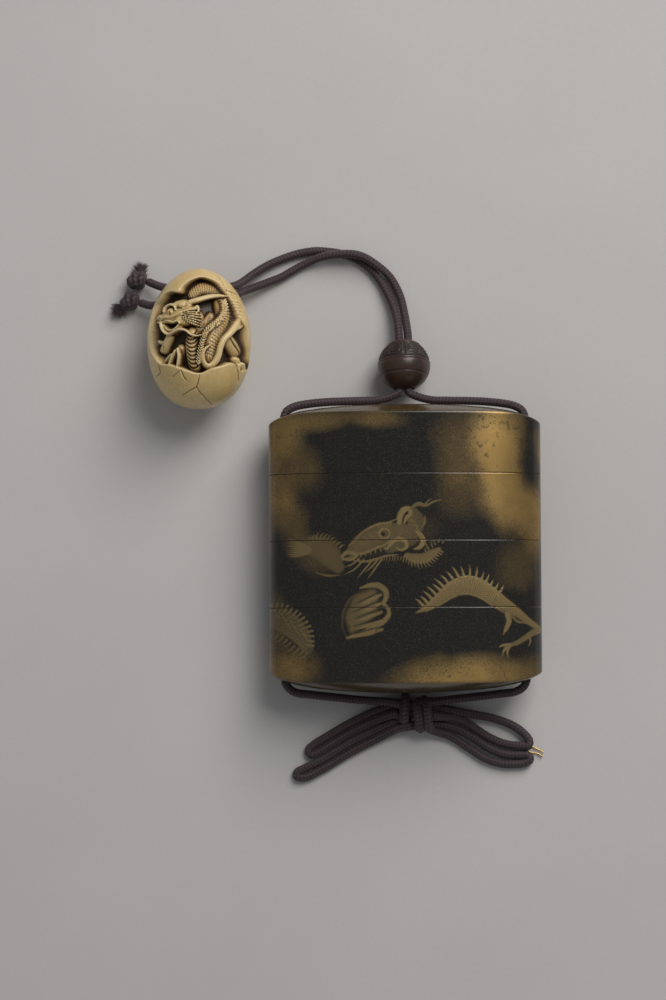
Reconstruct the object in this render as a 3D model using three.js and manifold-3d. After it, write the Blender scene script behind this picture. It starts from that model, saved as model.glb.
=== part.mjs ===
// An inro: a flat case of four hollow sections that stack on inner lips, a carved bead, a netsuke in the
// shape of a hatching egg, and the silk cord that runs through them all and ends in a bow.
// Millimetres. The case lies on its back: x across it, y towards its lid, z up through its painted front.
import * as THREE from "three";
import { mergeVertices } from "three/addons/utils/BufferGeometryUtils.js";
import Module from "manifold-3d";

const wasm = await Module();
wasm.setup();

// The case
const caseWidth = 75;
const caseDepth = 24;
const caseSides = 36;
const casePower = 2.3; // how square the oval section is
const restCut = 0.2; // what the flat along the back takes off the depth
const cornerHeight = 34.3; // from the middle of the case to the rim, at its narrow sides
const rimArch = 2.7; // how much further the rim lies at the middle
const archPower = 8;
const endDome = 2.85;
const seamHeights = [20.2, 1.9, -16.4];
const seamGap = 0.3;
const wall = 2.8;
const hollowHalfWidth = 29.2;
const hollowPower = 3;
const lipThickness = 1.1;
const lipHeight = 3.2;
const lipClearance = 0.3;
const floorThickness = 2;
const channelX = 33.15; // the cord channels run through the narrow side walls
const channelRadius = 1.6;
const channelMouthRadius = 2.8;
const caseMiddle = caseDepth / 2 - restCut;

// The bead
const beadRadius = 7.35;
const beadPlace = new THREE.Vector3(0.1, 51, beadRadius);
const beadTilt = THREE.MathUtils.degToRad(14);
const bandDepth = 0.4;
const fretCount = 8;
// The bars of a fret: degrees above the bead's middle, and turn in radians.
const fretBars = [
  [12, 0],
  [34, 0.2],
];

// The netsuke
const eggRadius = 14.3;
const eggHalfLength = 19.4;
const eggRestCut = 0.12;
const eggPlace = new THREE.Vector3(-56.5, 58, eggRadius - eggRestCut);
const pocketDepth = 4.2;
const edgeRun = 1.5; // the broken edge slopes down to the pocket over this width

// The cord
const cordRadius = 1.15;
const strandGap = 0.16; // between the two strands that share a hole
const strandClearance = 1.1; // round the strands in the netsuke
const beadClearance = 0.35;
const wireRadius = 0.22;

const lacquer = new THREE.MeshStandardMaterial({ color: 0x1b1d20, roughness: 0.15, metalness: 0.1 });
const nutwood = new THREE.MeshStandardMaterial({ color: 0x6a4a33, roughness: 0.45, metalness: 0 });
const ivory = new THREE.MeshStandardMaterial({ color: 0xd8c088, roughness: 0.35, metalness: 0 });
const silk = new THREE.MeshStandardMaterial({ color: 0x4b3d45, roughness: 0.9, metalness: 0 });
const brass = new THREE.MeshStandardMaterial({ color: 0xb08a45, roughness: 0.3, metalness: 1 });

const group = new THREE.Group();

// Turns a closed geometry into a solid that can be joined and cut.
function solid(geometry) {
  geometry.deleteAttribute("normal");
  geometry.deleteAttribute("uv");
  const merged = mergeVertices(geometry, 1e-4);
  return new wasm.Manifold(
    new wasm.Mesh({
      numProp: 3,
      vertProperties: merged.attributes.position.array,
      triVerts: new Uint32Array(merged.index.array),
    }),
  );
}

// Adds a solid or a geometry to the group as a named piece.
function addPiece(name, shape, material) {
  let geometry = shape;
  if (!shape.isBufferGeometry) {
    const mesh = shape.getMesh();
    geometry = new THREE.BufferGeometry();
    geometry.setAttribute("position", new THREE.BufferAttribute(mesh.vertProperties, 3));
    geometry.setIndex(new THREE.BufferAttribute(mesh.triVerts, 1));
    geometry.computeVertexNormals();
  }
  const piece = new THREE.Mesh(geometry, material);
  piece.name = name;
  group.add(piece);
  return piece;
}

function superellipse(angle, halfWidth, halfDepth, power) {
  const bend = (value) => Math.sign(value) * Math.abs(value) ** (2 / power);
  return [halfWidth * bend(Math.cos(angle)), halfDepth * bend(Math.sin(angle))];
}

// A body with the case's oval section. Its profile is a list of [share of the section's size, height].
function ovalBody(profile, halfWidth, halfDepth, power, sides) {
  const points = profile.map(([share, height]) => new THREE.Vector2(share, height));
  const geometry = new THREE.LatheGeometry(points, sides);
  const position = geometry.attributes.position;
  for (let i = 0; i < position.count; i++) {
    const share = Math.hypot(position.getX(i), position.getZ(i));
    const angle = Math.atan2(position.getZ(i), position.getX(i));
    const [x, z] = superellipse(angle, halfWidth * share, halfDepth * share, power);
    position.setXYZ(i, x, position.getY(i), caseMiddle + z);
  }
  return geometry;
}

// The outside of a section, from one height to the other. A height of null is a domed end.
function caseShell(low, high) {
  const domeShares = [0, 0.5, 0.8, 0.94];
  const dome = domeShares.map((share) => [share, cornerHeight + endDome * (1 - share ** 2)]);
  const rim = [
    [0.992, cornerHeight + 0.02],
    [1, cornerHeight - 0.4],
  ];
  const end = [...dome, ...rim];
  const bottom = low === null ? end.map(([share, y]) => [share, -y]) : [[0, low], [1, low]];
  const top = high === null ? end.reverse() : [[1, high], [0, high]];
  const geometry = ovalBody([...bottom, ...top], caseWidth / 2, caseDepth / 2, casePower, caseSides);
  const position = geometry.attributes.position;
  for (let i = 0; i < position.count; i++) {
    const y = position.getY(i);
    const onEnd = Math.abs(y) > cornerHeight - 1;
    const arch = onEnd ? rimArch * (1 - Math.abs((2 * position.getX(i)) / caseWidth) ** archPower) : 0;
    position.setY(i, y + Math.sign(y) * arch);
    position.setZ(i, Math.max(position.getZ(i), 0));
  }
  return solid(geometry);
}

// An oval body inside the case: a hollow, a lip or the recess for one. It grows outwards by the margin.
function innerBody(low, high, margin, domeLow = 0, domeHigh = 0) {
  const end = (dome) => (dome ? [0, 0.5, 0.8, 1] : [0, 1]);
  const bottom = end(domeLow).map((share) => [share, low - domeLow * (1 - share ** 2)]);
  const top = end(domeHigh).map((share) => [share, high + domeHigh * (1 - share ** 2)]).reverse();
  const halfDepth = caseDepth / 2 - wall + margin;
  return solid(ovalBody([...bottom, ...top], hollowHalfWidth + margin, halfDepth, hollowPower, 32));
}

// A cord channel with a wider mouth at each domed end.
function cordChannel(side) {
  const reach = cornerHeight + rimArch + endDome;
  const mouthHeight = cornerHeight - 1.2;
  const profile = [
    [0, -reach],
    [channelMouthRadius, -reach],
    [channelMouthRadius, -mouthHeight - 1.6],
    [channelRadius, -mouthHeight],
    [channelRadius, mouthHeight],
    [channelMouthRadius, mouthHeight + 1.6],
    [channelMouthRadius, reach],
    [0, reach],
  ];
  const geometry = new THREE.LatheGeometry(profile.map(([r, y]) => new THREE.Vector2(r, y)), 10);
  geometry.translate(side * channelX, 0, caseMiddle);
  return solid(geometry);
}

function addCaseSections() {
  const names = ["lid", "upper_case", "middle_case", "lower_case"];
  const channels = cordChannel(-1).add(cordChannel(1));
  names.forEach((name, index) => {
    const isLid = index === 0;
    const isLowest = index === names.length - 1;
    const high = isLid ? null : seamHeights[index - 1] - seamGap / 2;
    const low = isLowest ? null : seamHeights[index] + seamGap / 2;
    let section = caseShell(low, high);
    if (!isLid) {
      section = section.add(innerBody(high - 1, high + lipHeight, lipThickness));
    }
    const recessTop = isLowest ? 0 : low + lipHeight + lipClearance;
    const hollowTop = isLid ? cornerHeight : high + lipHeight + 1;
    const hollowBottom = isLowest ? -cornerHeight : recessTop + (isLid ? -1 : floorThickness);
    section = section.subtract(
      innerBody(hollowBottom, hollowTop, 0, isLowest ? endDome : 0, isLid ? endDome : 0),
    );
    if (!isLowest) {
      section = section.subtract(innerBody(low - 1, recessTop, lipThickness + lipClearance));
    }
    addPiece(name, section.subtract(channels), lacquer);
  });
}

// A bar with a rounded section that two strands fit through side by side.
function strandPassage(length, halfHeight, halfWidth) {
  const outline = new THREE.Shape();
  const straight = halfWidth - halfHeight;
  outline.absarc(straight, 0, halfHeight, -Math.PI / 2, Math.PI / 2, false);
  outline.absarc(-straight, 0, halfHeight, Math.PI / 2, (3 * Math.PI) / 2, false);
  const bar = new THREE.ExtrudeGeometry(outline, { depth: length, bevelEnabled: false, curveSegments: 4 });
  return bar.translate(0, 0, -length / 2);
}

// The bead: a plain cap, a recessed band with a raised fret, and a plain lower half.
function addBead() {
  const capAngle = 38;
  const bandAngle = 86;
  const profile = [];
  const ring = (angle, radius) => {
    const turn = THREE.MathUtils.degToRad(angle);
    profile.push(new THREE.Vector2(radius * Math.sin(turn), radius * Math.cos(turn)));
  };
  for (const angle of [180, 162, 144, 126, 108]) {
    ring(angle, beadRadius);
  }
  ring(bandAngle + 3, beadRadius);
  for (const angle of [bandAngle, 70, 54, capAngle]) {
    ring(angle, beadRadius - bandDepth);
  }
  for (const angle of [capAngle - 3, 18, 0]) {
    ring(angle, beadRadius);
  }
  profile[0].x = 0;
  profile[profile.length - 1].x = 0;
  let bead = solid(new THREE.LatheGeometry(profile, 20));
  for (let k = 0; k < fretCount; k++) {
    const turn = (2 * Math.PI * k) / fretCount;
    for (const [rise, shift] of fretBars) {
      const bar = new THREE.BoxGeometry(2.6, 1.2, 1.4).translate(0, 0, beadRadius - 0.75);
      bar.rotateX(-THREE.MathUtils.degToRad(rise)).rotateY(turn + shift);
      bead = bead.add(solid(bar));
    }
  }
  const passage = strandPassage(20, cordRadius + beadClearance, 2 * cordRadius + strandGap + beadClearance);
  bead = bead.subtract(solid(passage.rotateX(Math.PI / 2)));
  const piece = addPiece("ojime_bead", bead, nutwood);
  piece.position.copy(beadPlace);
  piece.rotation.x = -beadTilt;
}

// How wide the egg is at a height, as a share of its widest. It is blunter below the middle.
function eggShare(height) {
  const share = Math.min(Math.abs(height) / eggHalfLength, 1);
  const power = height > 0 ? 1.93 : 2.3;
  return (1 - share ** power) ** (1 / power);
}

// A point under the egg's front, this far across and up from its middle and this deep in it.
function eggPoint(across, up, deep) {
  const round = eggRadius * eggShare(up);
  const out = Math.sqrt(Math.max(round ** 2 - across ** 2, 0));
  const shrink = 1 - deep / Math.max(round, deep + 1);
  return new THREE.Vector3(across * shrink, up, out * shrink);
}

// The opening broken in the shell, and the dragon's broad masses in it: [across, up] from the egg's middle.
const openingEdge = [
  [-11, 10.4], [-7.8, 12.4], [-5.4, 12.1], [-3.1, 14.8], [1, 16.4], [4, 15.7], [7.5, 12.8], [9.2, 10.4],
  [11, 7.5], [11.9, 5], [13.6, 2], [14.2, -2.2], [13.6, -8.6], [11.9, -9.6], [9.8, -7.8], [3.7, -9.6],
  [-0.2, -10.8], [-4.9, -9.3], [-10.4, -7.8], [-12, -6], [-13.4, -3.1], [-13.8, 0.7], [-13.4, 5.1], [-12.2, 8.9],
];
const dragonMasses = [
  { name: "head", path: [[-9.2, 4.4], [-6, 5.2], [-3, 6.2]], width: 3.9, deep: 0.9 },
  { name: "brow", path: [[-6.6, 8.6], [-3, 8.2]], width: 1.9, deep: 0.8 },
  { name: "mane", path: [[-3.6, 4.6], [1, 4.4]], width: 2.8, deep: 1.4 },
  { name: "upper coil", path: [[-1.4, 11.6], [3, 13], [7.4, 12]], width: 2.4, deep: 1.9 },
  { name: "neck", path: [[8, 9.6], [8.3, 5.5], [6.6, 1.5], [4.6, -2], [3.4, -7.4]], width: 3.6, deep: 1.5 },
  { name: "belly", path: [[-1, 0.6], [-1.9, -4], [-0.8, -8.8]], width: 2.5, deep: 1.4 },
  { name: "forearm", path: [[-8.6, 0.4], [-10.8, -3.4]], width: 1.5, deep: 1.2 },
  { name: "hand", path: [[-5.4, -3.4], [-6, -7]], width: 1.9, deep: 1.5 },
  { name: "paw", path: [[12.2, -6.4], [12.8, -9.4]], width: 1.6, deep: 1.2 },
  { name: "flank", path: [[9.2, -0.4], [11.8, -3.6]], width: 2.3, deep: 1.6 },
];

// Thin forms that stand out over the masses, as tubes: [across, up] points, radius and depth.
const dragonStrands = [
  { path: [[-1.9, 8.9], [0.8, 9.9], [4, 10.6], [8.3, 10.8]], radius: 0.75, deep: 0.9 },
  { path: [[-10.4, 4], [-10.1, 1.7], [-8.1, 0.5], [-5.4, 1.5], [-3, 1], [-0.8, -0.4], [1.6, -0.2]], radius: 0.5, deep: 1 },
  { path: [[7.5, 9.4], [7.8, 6.3], [6, 3.3], [3.1, 1], [1.6, -2], [0.5, -6]], radius: 0.7, deep: 1.1 },
  { path: [[12.1, 7], [10.6, 1], [7.6, -2.3], [6.1, -5.5], [3.9, -7.8], [2.3, -6.2], [2.7, -3.9], [4, -2.9]], radius: 0.8, deep: 0.7 },
  { path: [[-5.9, -4], [-6.8, -6.4], [-8.9, -9.4]], radius: 0.5, deep: 0.7 },
  { path: [[-4.7, -5], [-4.6, -7.6], [-5.6, -10.8]], radius: 0.5, deep: 0.6 },
  { path: [[12, -6.6], [12.6, -8.6], [12.4, -10.8]], radius: 0.7, deep: 0.4 },
];

function distanceToPath(across, up, path) {
  let nearest = Infinity;
  for (let i = 0; i + 1 < path.length; i++) {
    const [ax, ay] = path[i];
    const [bx, by] = path[i + 1];
    const along = ((across - ax) * (bx - ax) + (up - ay) * (by - ay)) / ((bx - ax) ** 2 + (by - ay) ** 2);
    const share = THREE.MathUtils.clamp(along, 0, 1);
    nearest = Math.min(nearest, Math.hypot(across - ax - share * (bx - ax), up - ay - share * (by - ay)));
  }
  return nearest;
}

function insideEdge(across, up) {
  let inside = false;
  openingEdge.forEach(([ax, ay], i) => {
    const [bx, by] = openingEdge[(i + 1) % openingEdge.length];
    if (ay > up !== by > up && across < ((bx - ax) * (up - ay)) / (by - ay) + ax) {
      inside = !inside;
    }
  });
  return inside;
}

// How deep the carving lies under the egg's surface there.
function carvedDepth(across, up) {
  if (!insideEdge(across, up)) {
    return 0;
  }
  const slope = Math.min(1, distanceToPath(across, up, [...openingEdge, openingEdge[0]]) / edgeRun);
  let deep = pocketDepth * slope;
  for (const mass of dragonMasses) {
    const share = distanceToPath(across, up, mass.path) / mass.width;
    if (share < 1) {
      deep = Math.min(deep, pocketDepth - (pocketDepth - mass.deep) * Math.sqrt(1 - share ** 2));
    }
  }
  return deep;
}

// The egg is one carved piece: shell, opening and dragon. Two strands pass through its back.
function addNetsuke() {
  const geometry = new THREE.SphereGeometry(1, 38, 28);
  const position = geometry.attributes.position;
  for (let i = 0; i < position.count; i++) {
    const up = eggHalfLength * position.getY(i);
    const even = Math.atan2(position.getX(i), position.getZ(i));
    const around = even - 0.45 * Math.sin(even);
    const round = eggRadius * eggShare(up);
    const across = round * Math.sin(around);
    const front = Math.cos(around) > 0;
    const deep = front ? carvedDepth(across, up) : 0;
    const radius = round - Math.min(deep, 0.8 * round);
    const height = Math.max(radius * Math.cos(around), -eggPlace.z);
    position.setXYZ(i, radius * Math.sin(around), up, height);
  }
  let egg = solid(geometry);
  for (const strand of dragonStrands) {
    const points = strand.path.map(([across, up]) => eggPoint(across, up, strand.deep));
    egg = egg.add(solid(tubeAlong(points, strand.radius, 5, 2 * (points.length - 1))));
  }
  const eye = new THREE.SphereGeometry(1.35, 8, 6);
  const eyePlace = eggPoint(-8.1, 6.6, 1.2);
  const snout = new THREE.SphereGeometry(1.2, 8, 6);
  const snoutPlace = eggPoint(-11.2, 4.6, 1.6);
  egg = egg.add(solid(eye.translate(...eyePlace.toArray())));
  egg = egg.add(solid(snout.translate(...snoutPlace.toArray())));
  const passage = strandPassage(40, cordRadius + strandClearance, 2 * cordRadius + strandGap + strandClearance);
  passage.rotateZ(Math.PI / 2).rotateY(Math.PI / 2);
  passage.translate(0, netsukeStrandY - eggPlace.y, netsukeStrandZ - eggPlace.z);
  addPiece("netsuke_egg", egg.subtract(solid(passage)), ivory).position.copy(eggPlace);
}

// A round bar with flat sides along a smooth curve through the points.
function tubeAlong(points, radius, sides, steps) {
  const outline = new THREE.Shape();
  for (let i = 0; i < sides; i++) {
    const angle = (2 * Math.PI * i) / sides;
    outline[i ? "lineTo" : "moveTo"](radius * Math.cos(angle), radius * Math.sin(angle));
  }
  const extrudePath = new THREE.CatmullRomCurve3(points, false, "centripetal");
  return new THREE.ExtrudeGeometry(outline, { steps, extrudePath, bevelEnabled: false });
}

// A stretch of the cord: its [x, y, z] route and how many straight steps it takes.
function addCord(name, route, steps) {
  addPiece(name, tubeAlong(route.map((point) => new THREE.Vector3(...point)), cordRadius, 8, steps), silk);
}

// The strands from the end knots through the netsuke and over the floor to the bead.
const netsukeStrandY = 71.5;
const netsukeStrandZ = 8;
function addNetsukeStrands() {
  addCord("outer_strand", [
    [-72.9, 69.1, 3.7], [-70.4, 68.3, 4.6], [-68.2, 68.5, 6], [-65.2, 70.1, 7.7], [-57, 70.3, 8],
    [-49.6, 70.4, 8], [-46.4, 71.1, 6.8], [-44.6, 72, 5.2], [-41.5, 73.3, 3.6], [-37, 75.15, 2], [-34, 76.4, 1.4],
    [-31, 78.1, 1.25], [-27.9, 79.8, 1.4], [-24.8, 81.2, 2.1], [-21.5, 82.1, 3.2], [-18.2, 82.5, 3.8],
    [-15, 82.6, 3.9], [-12.6, 82.3, 3.8], [-10.1, 81.35, 3.5], [-7.4, 79.6, 3], [-4.5, 77.3, 1.8],
    [-2.8, 75.2, 1.35], [-0.8, 71, 1.9], [0.5, 65.2, 3.6], [1.3, 59.4, 5.2],
  ], 24);
  addCord("inner_strand", [
    [-70.8, 75, 3.4], [-68.3, 73.8, 5], [-66, 73, 7], [-63.6, 72.7, 8], [-57, 72.7, 8], [-49.6, 72.8, 8],
    [-46.4, 73.6, 6.6], [-44.6, 74.8, 5.1], [-41.9, 77, 3.2], [-39, 79, 1.9], [-36, 80.6, 1.4], [-33, 81.8, 1.25],
    [-30, 82.8, 1.2], [-27.1, 83.45, 1.2], [-24.2, 83.75, 1.2], [-21.3, 83.6, 1.2], [-18.3, 83.2, 1.2],
    [-14.6, 82.1, 1.2], [-11.6, 80.6, 1.2], [-8.7, 78.3, 1.2], [-6.3, 75.4, 1.2], [-4.2, 71.6, 1.7],
    [-2.6, 67.8, 2.6], [-1.6, 63.9, 3.9], [-1.2, 59.6, 5.2],
  ], 24);
}

// Both strands lie side by side in the bead, run on over the lid and down the case's channels.
function addCaseStrands() {
  const axis = new THREE.Vector3(0, -Math.cos(beadTilt), Math.sin(beadTilt));
  for (const [word, side] of [["left", -1], ["right", 1]]) {
    const start = beadPlace.clone().addScaledVector(axis, -beadRadius - 0.3);
    const end = beadPlace.clone().addScaledVector(axis, beadRadius - 0.9);
    const offset = side * (cordRadius + strandGap / 2);
    const along = [start, end].map((point) => [point.x + offset, point.y, point.z]);
    addCord("bead_strand_" + word, along, 1);
    addCord("top_strand_" + word, [
      [0.1 + side * 1.3, 43.4, 9.2], [side * 3.2, 42.3, 9.3], [side * 7.6, 41.1, 9.5], [side * 12.3, 40.9, 9.8],
      [side * 21, 40.6, 10.5], [side * 26.8, 40, 11.2], [side * 30.4, 39.2, 11.7], [side * 32.4, 38, 11.9],
      [side * channelX, 36.4, caseMiddle], [side * channelX, 35.6, caseMiddle],
    ], 8);
    addCord("channel_strand_" + word, [
      [side * channelX, 35.2, caseMiddle], [side * channelX, -35.2, caseMiddle],
    ], 1);
    addCord("bottom_strand_" + word, [
      [side * channelX, -35.6, caseMiddle], [side * channelX, -36.6, caseMiddle], [side * 32.3, -38.3, 11.4],
      [side * 30.2, -39.6, 10.6], [side * 26, -40.2, 9.2], [side * 18.5, -41.1, 7.2], [side * 12, -41.8, 6.1],
      [2 + side * 6.6, -42.3, 5.4],
    ], 6);
  }
}

// The bow: two wraps round the crossing strands, and four loops lying on the floor.
const bowWraps = [
  { place: [0.1, -44.1, 3.6], size: [2.3, 4.2, 3.5] },
  { place: [4.6, -45.8, 3.8], size: [3.2, 5, 3.75] },
];
function addBow() {
  let knot = null;
  for (const { place, size } of bowWraps) {
    const wrap = solid(new THREE.SphereGeometry(1, 10, 7).scale(...size).translate(...place));
    knot = knot ? knot.add(wrap) : wrap;
  }
  addPiece("bow_knot", knot, silk);
  addCord("left_upper_loop", [
    [-2.7, -43.4, 2.6], [-8.5, -45, 1.9], [-15.9, -48.5, 1.25], [-22, -52, 1.2], [-25.4, -54.1, 1.2],
    [-26.9, -55.5, 1.2], [-26.6, -56.8, 1.2], [-24.9, -56.5, 1.2], [-22, -54.8, 1.2], [-15.9, -51.2, 1.25],
    [-8.5, -47.6, 2.2], [-2.5, -45.8, 3.6],
  ], 14);
  addCord("left_lower_loop", [
    [-2.1, -47.6, 1.9], [-8.5, -50.3, 1.4], [-15.9, -53.9, 1.2], [-23, -58.2, 1.2], [-28.2, -60.7, 1.2],
    [-30.2, -61.9, 1.2], [-30.1, -63, 1.2], [-28, -63.2, 1.2], [-23, -60.9, 1.2], [-15.9, -56.7, 1.2],
    [-8.5, -52.9, 1.5], [-1.3, -49.5, 3],
  ], 14);
  addCord("right_open_loop", [
    [8.3, -44.1, 3], [11.4, -44.5, 2.8], [19.1, -46, 2], [24.4, -47.1, 1.6], [29.2, -48.8, 1.5],
    [32.3, -50.8, 1.6], [34.3, -53.2, 1.8], [34.2, -54.6, 1.9], [32.6, -54.8, 1.7], [27.4, -54.1, 1.3],
    [23, -52.2, 1.25], [18.7, -49.4, 1.4], [13.9, -46.9, 2.2], [8.7, -46.4, 4.2],
  ], 15);
  addCord("right_closed_loop", [
    [8.5, -48.6, 1.9], [13.9, -49.8, 1.4], [18.7, -52.4, 1.2], [23.3, -55.4, 1.2], [28, -57.1, 1.2],
    [31.8, -57.3, 1.3], [33.9, -57.4, 1.4], [34.6, -58.4, 1.4], [33.5, -59.4, 1.3], [30.8, -59.8, 1.2],
    [27, -59.7, 1.2], [22.3, -58.3, 1.2], [17.6, -55.3, 1.2], [12.6, -52.1, 1.4], [7.8, -50.4, 2.6],
  ], 15);
}

// Each end of the cord is tied in a knot with a short frayed tuft.
function addEndKnots() {
  const knots = [
    { name: "upper_end_knot", place: [-74.8, 75.5, 2.7], band: [-73.1, 76, 2.7], tuft: [-73.1, 78.8, 1.9] },
    { name: "lower_end_knot", place: [-76.9, 69.6, 2.6], band: [-75.1, 70, 2.6], tuft: [-79.1, 67.5, 1.7] },
  ];
  for (const { name, place, band, tuft } of knots) {
    const body = new THREE.SphereGeometry(1, 8, 6).scale(2.8, 2.7, 2.6).translate(...place);
    const wrap = new THREE.SphereGeometry(1, 8, 6).scale(1.6, 2.6, 2.5).translate(...band);
    const fray = new THREE.SphereGeometry(1, 7, 5).scale(1.8, 1.6, 1.4).translate(...tuft);
    addPiece(name, solid(body).add(solid(wrap)).add(solid(fray)), silk);
  }
}

// A bent wire passes under the tips of the right-hand loops.
function addWire() {
  const route = [
    [38.4, -56.5, 0.5], [36.3, -55.5, 0.32], [34.4, -54.7, 0.3], [33.7, -55.6, 0.3], [34.6, -56.5, 0.3],
    [36.6, -56.9, 0.32], [38.2, -57.8, 0.5],
  ];
  const points = route.map((point) => new THREE.Vector3(...point));
  addPiece("brass_wire", tubeAlong(points, wireRadius, 5, 9), brass);
}

addCaseSections();
addBead();
addNetsuke();
addNetsukeStrands();
addCaseStrands();
addBow();
addEndKnots();
addWire();

export default group;
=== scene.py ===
# An inro with its netsuke and bead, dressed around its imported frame. Lengths below are millimetres
# unless a name says otherwise. The case lies on its back: x across, y towards the lid, z up.
import math

import bpy
import numpy as np
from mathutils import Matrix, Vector


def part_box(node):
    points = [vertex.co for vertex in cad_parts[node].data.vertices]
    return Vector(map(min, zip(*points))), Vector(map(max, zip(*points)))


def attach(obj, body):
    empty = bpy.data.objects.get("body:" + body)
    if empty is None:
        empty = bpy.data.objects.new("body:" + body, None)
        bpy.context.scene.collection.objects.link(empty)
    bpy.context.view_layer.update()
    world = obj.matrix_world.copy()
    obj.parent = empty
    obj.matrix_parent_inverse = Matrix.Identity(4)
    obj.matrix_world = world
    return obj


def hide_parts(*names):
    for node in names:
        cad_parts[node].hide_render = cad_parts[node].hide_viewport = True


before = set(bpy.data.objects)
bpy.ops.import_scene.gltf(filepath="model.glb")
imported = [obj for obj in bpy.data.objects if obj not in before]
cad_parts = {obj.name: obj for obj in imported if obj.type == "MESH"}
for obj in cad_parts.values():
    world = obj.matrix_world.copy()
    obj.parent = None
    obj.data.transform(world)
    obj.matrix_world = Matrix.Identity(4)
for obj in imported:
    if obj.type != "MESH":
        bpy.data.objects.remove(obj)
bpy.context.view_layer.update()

mm = 0.001
chance = np.random.default_rng(41)


# Selecting, making and finishing meshes

def deselectAll():
    if bpy.context.object and bpy.context.object.mode != "OBJECT":
        bpy.ops.object.mode_set(mode="OBJECT")
    bpy.ops.object.select_all(action="DESELECT")


def pick(piece):
    deselectAll()
    piece.select_set(True)
    bpy.context.view_layer.objects.active = piece


def applyModifiers(piece):
    pick(piece)
    for modifier in list(piece.modifiers):
        bpy.ops.object.modifier_apply(modifier=modifier.name)


def boxOf(node):
    low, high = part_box(node)
    return np.array(low) / mm, np.array(high) / mm


def addMark(piece, name, values):
    layer = piece.data.attributes.new(name, "FLOAT", "POINT")
    layer.data.foreach_set("value", np.asarray(values, np.float32).ravel())


# A flat grid is wrapped to the places given for its rows and columns. Its joins and poles are closed.
def wrapGrid(name, places, marks=None, uv=None):
    rows, columns = places.shape[:2]
    deselectAll()
    bpy.ops.mesh.primitive_grid_add(x_subdivisions=columns - 1, y_subdivisions=rows - 1, size=1)
    piece = bpy.context.object
    piece.name = piece.data.name = name
    mesh = piece.data
    mesh.vertices.foreach_set("co", (places * mm).astype(np.float32).ravel())
    for mark, values in (marks or {}).items():
        addMark(piece, mark, values)
    if uv is not None:
        corners = np.zeros(len(mesh.loops), np.int32)
        mesh.loops.foreach_get("vertex_index", corners)
        mesh.uv_layers.active.data.foreach_set("uv",
                                               uv.reshape(-1, 2)[corners].astype(np.float32).ravel())
    mesh.update()
    bpy.ops.object.mode_set(mode="EDIT")
    bpy.ops.mesh.select_all(action="SELECT")
    bpy.ops.mesh.remove_doubles(threshold=2e-6)
    bpy.ops.mesh.normals_make_consistent(inside=False)
    bpy.ops.object.mode_set(mode="OBJECT")
    bpy.ops.object.shade_smooth()
    return piece


def cutAway(piece, cutter):
    cut = piece.modifiers.new("cut", "BOOLEAN")
    cut.operation = "DIFFERENCE"
    cut.solver = "EXACT"
    cut.object = cutter
    applyModifiers(piece)


def dressPiece(piece, material, slot, *nodes):
    piece.data.materials.clear()
    piece.data.materials.append(material)
    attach(piece, "root")
    if nodes:
        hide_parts(*nodes)
    return piece


# Curves

# A smooth curve through given points, the centripetal kind, as points an even distance apart.
def smoothLine(points, spacing):
    points = np.asarray(points, float)
    ends = [2 * points[0] - points[1]], [2 * points[-1] - points[-2]]
    held = np.concatenate([ends[0], points, ends[1]])
    steps = np.maximum(np.linalg.norm(np.diff(held, axis=0), axis=1), 1e-9) ** 0.5
    pieces = []
    for i in range(1, len(held) - 2):
        before, here, after = steps[i - 1], steps[i], steps[i + 1]
        leave = (held[i] - held[i - 1]) / before - (held[i + 1] - held[i - 1]) / (before + here)
        leave = (leave + (held[i + 1] - held[i]) / here) * here
        arrive = (held[i + 1] - held[i]) / here - (held[i + 2] - held[i]) / (here + after)
        arrive = (arrive + (held[i + 2] - held[i + 1]) / after) * here
        t = np.linspace(0, 1, 24, endpoint=False)[:, None]
        curve = (2 * t**3 - 3 * t**2 + 1) * held[i] + (t**3 - 2 * t**2 + t) * leave
        pieces.append(curve + (3 * t**2 - 2 * t**3) * held[i + 1] + (t**3 - t**2) * arrive)
    dense = np.concatenate(pieces + [points[-1:]])
    reach = np.concatenate([[0], np.cumsum(np.linalg.norm(np.diff(dense, axis=0), axis=1))])
    count = max(2, int(round(reach[-1] / spacing)) + 1)
    even = np.linspace(0, reach[-1], count)
    return np.stack([np.interp(even, reach, dense[:, k]) for k in range(dense.shape[1])], axis=1)


def lengthOf(line):
    return float(np.linalg.norm(np.diff(line, axis=0), axis=1).sum())


# Two directions across a path at each of its points, carried along it with as little twist as they can.
def acrossPath(line):
    along = np.gradient(line, axis=0)
    along /= np.linalg.norm(along, axis=1)[:, None]
    first = np.cross(along[0], [0.0, 0.0, 1.0])
    if np.linalg.norm(first) < 0.1:
        first = np.cross(along[0], [0.0, 1.0, 0.0])
    sideways = [first / np.linalg.norm(first)]
    for direction in along[1:]:
        carried = sideways[-1] - direction * float(direction @ sideways[-1])
        sideways.append(carried / np.linalg.norm(carried))
    sideways = np.array(sideways)
    return sideways, np.cross(along, sideways)


def smoothStep(low, high, value):
    share = np.clip((value - low) / (high - low), 0, 1)
    return share * share * (3 - 2 * share)


# A braid's ribs slant one way and then the other in the columns round the cord. One is a rib's crown.
def braidRibs(turn, reach, braid):
    slant = np.abs(2 * ((turn * braid["columns"]) % 1) - 1)
    phase = (reach / braid["pitch"] + braid["slant"] * slant) % 1
    rib = np.sin(np.pi * phase) ** 0.7
    column = np.minimum(slant, 1 - slant) * 2
    return rib * (0.45 + 0.55 * smoothStep(0, 0.55, column))


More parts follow.
